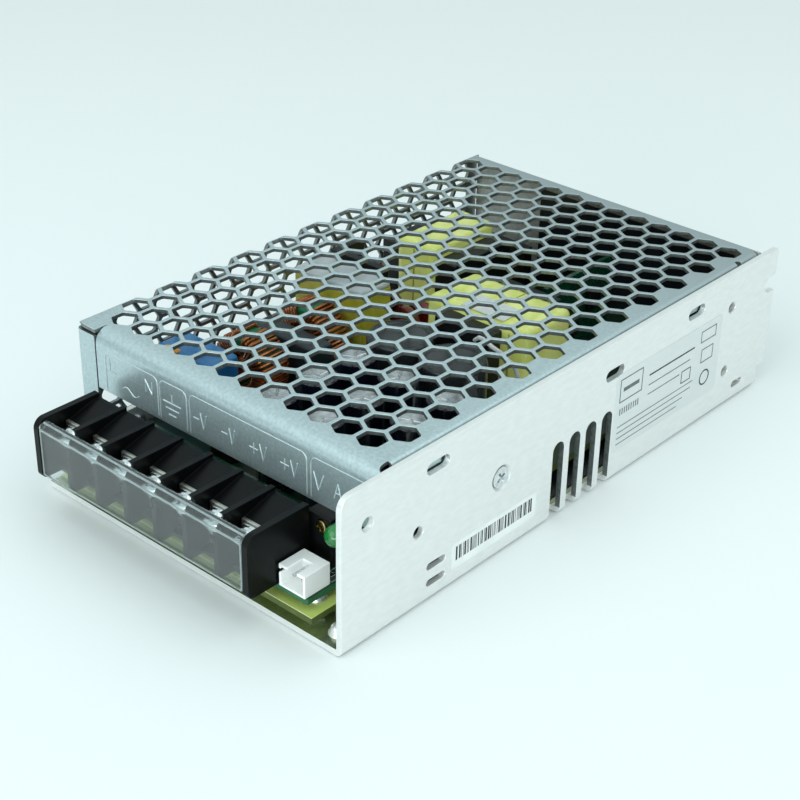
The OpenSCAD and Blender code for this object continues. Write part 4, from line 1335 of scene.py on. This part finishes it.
open_box(86.8, 69.0, 32.8, 23.2)
open_box(68.3, 59.5, 32.8, 23.0)
open_box(58.5, 22.7, 32.9, 23.0)
open_box(21.5, 3.6, 32.9, 23.0, right=False)
mark([(85.3, 31.4), (85.3, 28.3), (83.3, 28.3)])                                   # L
mark([(73.1, 27.8), (73.1, 30.9), (70.9, 27.8), (70.9, 30.9)])                     # N
mark([(81.2 - 0.5 * k, 25.4 + 0.75 * math.sin(k * 0.57)) for k in range(12)])      # sign of alternating current
mark([(64.3, 30.2), (64.3, 28.0)])
for hw, zz in ((2.9, 28.0), (2.1, 26.5), (1.2, 25.0)):
    mark([(64.3 + hw, zz), (64.3 - hw, zz)], 0.17)
for ya, yb, yc_, yd, plus in ((57.3, 55.6, 55.1, 53.2, 0), (48.4, 46.5, 46.0, 44.3, 0), (39.7, 37.2, 36.6, 34.6, 1),
                              (30.4, 27.9, 27.4, 25.4, 1)):
    mark([(ya, 27.6), (yb, 27.6)])
    if plus:
        mark([((ya + yb) / 2, 28.9), ((ya + yb) / 2, 26.3)])
    mark([(yc_, 29.4), ((yc_ + yd) / 2, 25.6), (yd, 29.4)])
mark([(20.7, 29.6), (19.3, 25.6), (17.9, 29.6)])
mark([(14.9, 25.6), (13.8, 29.4), (12.7, 25.6)])
mark([(14.5, 27.0), (13.1, 27.0)])
done()

# ------------------------------------------------------------------ small parts and print on the boards
bm, done = piece("board_small_parts", ["resin", "solder", "beige", "ink"])
rnd = random.Random(21)


def chip(x, y, z, lx, ly, h, mi, ends="x"):
    bm_box(bm, (x - lx / 2, y - ly / 2, z), (x + lx / 2, y + ly / 2, z + h), 0.08, 1, mi)
    e = 0.35
    if ends == "x":
        for s_ in (-1, 1):
            xa_ = x + s_ * (lx / 2 - e / 2)
            bm_box(bm, (xa_ - e / 2 - 0.03, y - ly / 2 - 0.03, z), (xa_ + e / 2 + 0.03, y + ly / 2 + 0.03, z + h + 0.03),
                   0.07, 1, 1)
    else:
        for s_ in (-1, 1):
            ya_ = y + s_ * (ly / 2 - e / 2)
            bm_box(bm, (x - lx / 2 - 0.03, ya_ - e / 2 - 0.03, z), (x + lx / 2 + 0.03, ya_ + e / 2 + 0.03, z + h + 0.03),
                   0.07, 1, 1)


def blob(x, y, z, r):
    lathe(bm, [(r, 0), (r * 0.85, r * 0.35), (r * 0.4, r * 0.7), (0, r * 0.8)], 14, Matrix.Translation(P(x, y, z)), 1)


for x, y, d in ((10.2, 13.0, "y"), (10.2, 16.4, "y"), (18.6, 12.4, "x"), (18.8, 15.0, "x"), (19.0, 17.6, "x"),
                (11.6, 24.0, "y"), (12.2, 12.2, "x")):
    chip(x, y, 8.8, 2.0 if d == "x" else 1.25, 1.25 if d == "x" else 2.0, 0.55, 3 if rnd.random() < 0.6 else 2, d)
for k in range(34):
    x, y = rnd.uniform(12.2, 24.0), rnd.uniform(22.5, 85.0)
    if abs(x - 15.2) < 2.0 and (y < 23 or y > 84):
        continue
    d = rnd.choice("xy")
    chip(x, y, 8.8, 2.0 if d == "x" else 1.2, 1.2 if d == "x" else 2.0, 0.5, rnd.choice((3, 3, 2)), d)
for k in range(26):
    blob(rnd.uniform(11.2, 24.8), rnd.uniform(20.5, 86.0), 8.8, rnd.uniform(0.4, 0.75))
for x, y in ((9.2, 13.4), (9.2, 15.9), (16.2, 10.9), (11.0, 19.0), (16.6, 22.6), (12.0, 22.4)):
    blob(x, y, 8.8, 0.62)
for k in range(26):
    blob(rnd.uniform(30, 152), rnd.uniform(12, 90), 5.5, rnd.uniform(0.5, 0.9))
done()
bm, done = piece("board_print", ["silk"])


def print_line(pts, w=0.16, z=8.8):
    """a flat printed line: a thin raised ribbon"""
    tube(bm, [P(x, y, z) for x, y in pts], w / 2 * MM, 6, flat=0.25, up=(0, 0, 1))


print_line([(19.5 + 3.4 * math.cos(math.radians(a)), 12.2 + 3.4 * math.sin(math.radians(a))) for a in range(-20, 200, 12)])
print_line([(8.9, 11.2), (8.9, 18.2), (11.4, 18.2), (11.4, 11.2), (8.9, 11.2)])
print_line([(11.6, 14.2), (17.6, 14.2), (17.6, 21.8), (11.6, 21.8), (11.6, 14.2)])
for k in range(9):
    y0 = 24 + 7 * k
    print_line([(11.0, y0), (11.0, y0 + 4.4), (13.6, y0 + 4.4)])
    print_line([(17.0 + 2.0 * math.cos(math.radians(a)), y0 + 2.0 * math.sin(math.radians(a))) for a in range(0, 300, 20)])
    print_line([(21.0, y0 - 1.0), (24.0, y0 - 1.0), (24.0, y0 + 2.2)])
done()
bm, done = piece("sense_leads", ["paper", "resin"])
tube(bm, [P(83.0, 35.6, 27.8), P(82.4, 33.8, 29.4), P(81.6, 31.6, 29.9), P(81.4, 29.0, 29.0), P(82.6, 26.6, 27.4),
          P(85.0, 25.0, 24.0), P(87.0, 24.0, 18.0), P(87.2, 23.9, 5.6)], 0.55 * MM, 8, mi=0)
tube(bm, [P(109.4, 58.4, 5.6), P(109.4, 58.5, 14), P(108.6, 59.6, 22), P(106.4, 61.4, 25), P(104.6, 64.0, 22),
          P(104.2, 64.4, 12), P(104.2, 64.5, 5.6)], 0.7 * MM, 8, mi=1)
done()
bm, done = piece("snubber_lead", ["copper"])
tube(bm, [P(104.6, 84.6, 5.6), P(104.6, 84.8, 18), P(104.8, 85.2, 23), P(105.4, 85.9, 24.4), P(106.2, 86.5, 23.0),
          P(106.5, 86.8, 18), P(106.5, 86.9, 5.6)], 0.75 * MM, 8)
done()

for n_, o in N.items():
    if o.hide_render:
        continue
    o.data.materials.clear()
    o.data.materials.append(M["resin"])
    print("not replaced:", n_)


# ------------------------------------------------------------------ floor, light
def floor_piece():
    bm = bmesh.new()
    bmesh.ops.create_grid(bm, x_segments=24, y_segments=24, size=3.0)
    me = bpy.data.meshes.new("floor")
    bm.to_mesh(me)
    bm.free()
    ob = bpy.data.objects.new("floor", me)
    scene.collection.objects.link(ob)
    ob.location.z = CAD_BOX[0].z - 0.0002
    # the floor's base colour is mixed darker away from the camera: painted falloff of the light
    m = material("floor_painted_falloff", (237, 239, 239), (234, 237, 237), scale=3, rough=0.55, rvar=0.05, bump=0.02,
                 spec=0.3)
    nt = m.node_tree
    b = next(n for n in nt.nodes if n.type == "BSDF_PRINCIPLED")
    col = b.inputs["Base Color"].links[0].from_socket
    tc = next(n for n in nt.nodes if n.type == "TEX_COORD")
    dot = nt.nodes.new("ShaderNodeVectorMath")
    dot.operation = "DOT_PRODUCT"
    dot.inputs[1].default_value = (0.75, 0.66, 0)
    nt.links.new(tc.outputs["Object"], dot.inputs[0])
    mr = nt.nodes.new("ShaderNodeMapRange")
    mr.inputs["From Min"].default_value = 0.02
    mr.inputs["From Max"].default_value = 0.55
    mr.interpolation_type = "SMOOTHSTEP"
    nt.links.new(dot.outputs["Value"], mr.inputs["Value"])
    mx = nt.nodes.new("ShaderNodeMix")
    mx.data_type = "RGBA"
    mx.inputs["B"].default_value = lin((228, 229, 229))
    nt.links.new(mr.outputs["Result"], mx.inputs["Factor"])
    nt.links.new(col, mx.inputs["A"])
    nt.links.new(mx.outputs["Result"], b.inputs["Base Color"])
    me.materials.append(m)


floor_piece()


def area(name, loc, target, size, power, col):
    li = bpy.data.lights.new(name, "AREA")
    li.shape = "RECTANGLE"
    li.size, li.size_y = size
    li.energy = power
    li.color = col
    ob = bpy.data.objects.new(name, li)
    scene.collection.objects.link(ob)
    ob.location = loc
    ob.rotation_euler = (Vector(target) - Vector(loc)).to_track_quat("-Z", "Y").to_euler()
    return ob


def make_world():
    w = bpy.data.worlds.new("studio")
    scene.world = w
    w.use_nodes = True
    nt = w.node_tree
    nt.nodes.clear()
    out = nt.nodes.new("ShaderNodeOutputWorld")
    bg = nt.nodes.new("ShaderNodeBackground")
    tc = nt.nodes.new("ShaderNodeTexCoord")
    sp = nt.nodes.new("ShaderNodeSeparateXYZ")
    ramp = nt.nodes.new("ShaderNodeValToRGB")
    nt.links.new(tc.outputs["Generated"], sp.inputs["Vector"])
    nt.links.new(sp.outputs["Z"], ramp.inputs["Fac"])
    e = ramp.color_ramp.elements
    e[0].position = 0.0
    e[0].color = (0.52, 0.62, 0.63, 1)
    e[1].position = 1.0
    e[1].color = (0.84, 0.98, 0.99, 1)
    e.new(0.28).color = (0.50, 0.59, 0.60, 1)
    e.new(0.58).color = (0.96, 1.11, 1.12, 1)
    e.new(0.44).color = (0.68, 0.79, 0.80, 1)
    nt.links.new(ramp.outputs["Color"], bg.inputs["Color"])
    bg.inputs["Strength"].default_value = 0.86
    nt.links.new(bg.outputs["Background"], out.inputs["Surface"])


make_world()
area("key", (0.30, -0.50, 1.0), (0.05, 0, 0), (1.1, 1.1), 2.6, (0.90, 1.0, 1.0))
area("fill", (-0.9, 0.1, 0.7), (0, 0, 0.02), (0.9, 0.9), 3.8, (0.88, 1.0, 1.01))
area("low_left", (-0.75, -0.35, 0.12), (-0.05, 0, 0.0), (0.8, 0.26), 2.8, (0.90, 1.0, 1.0))
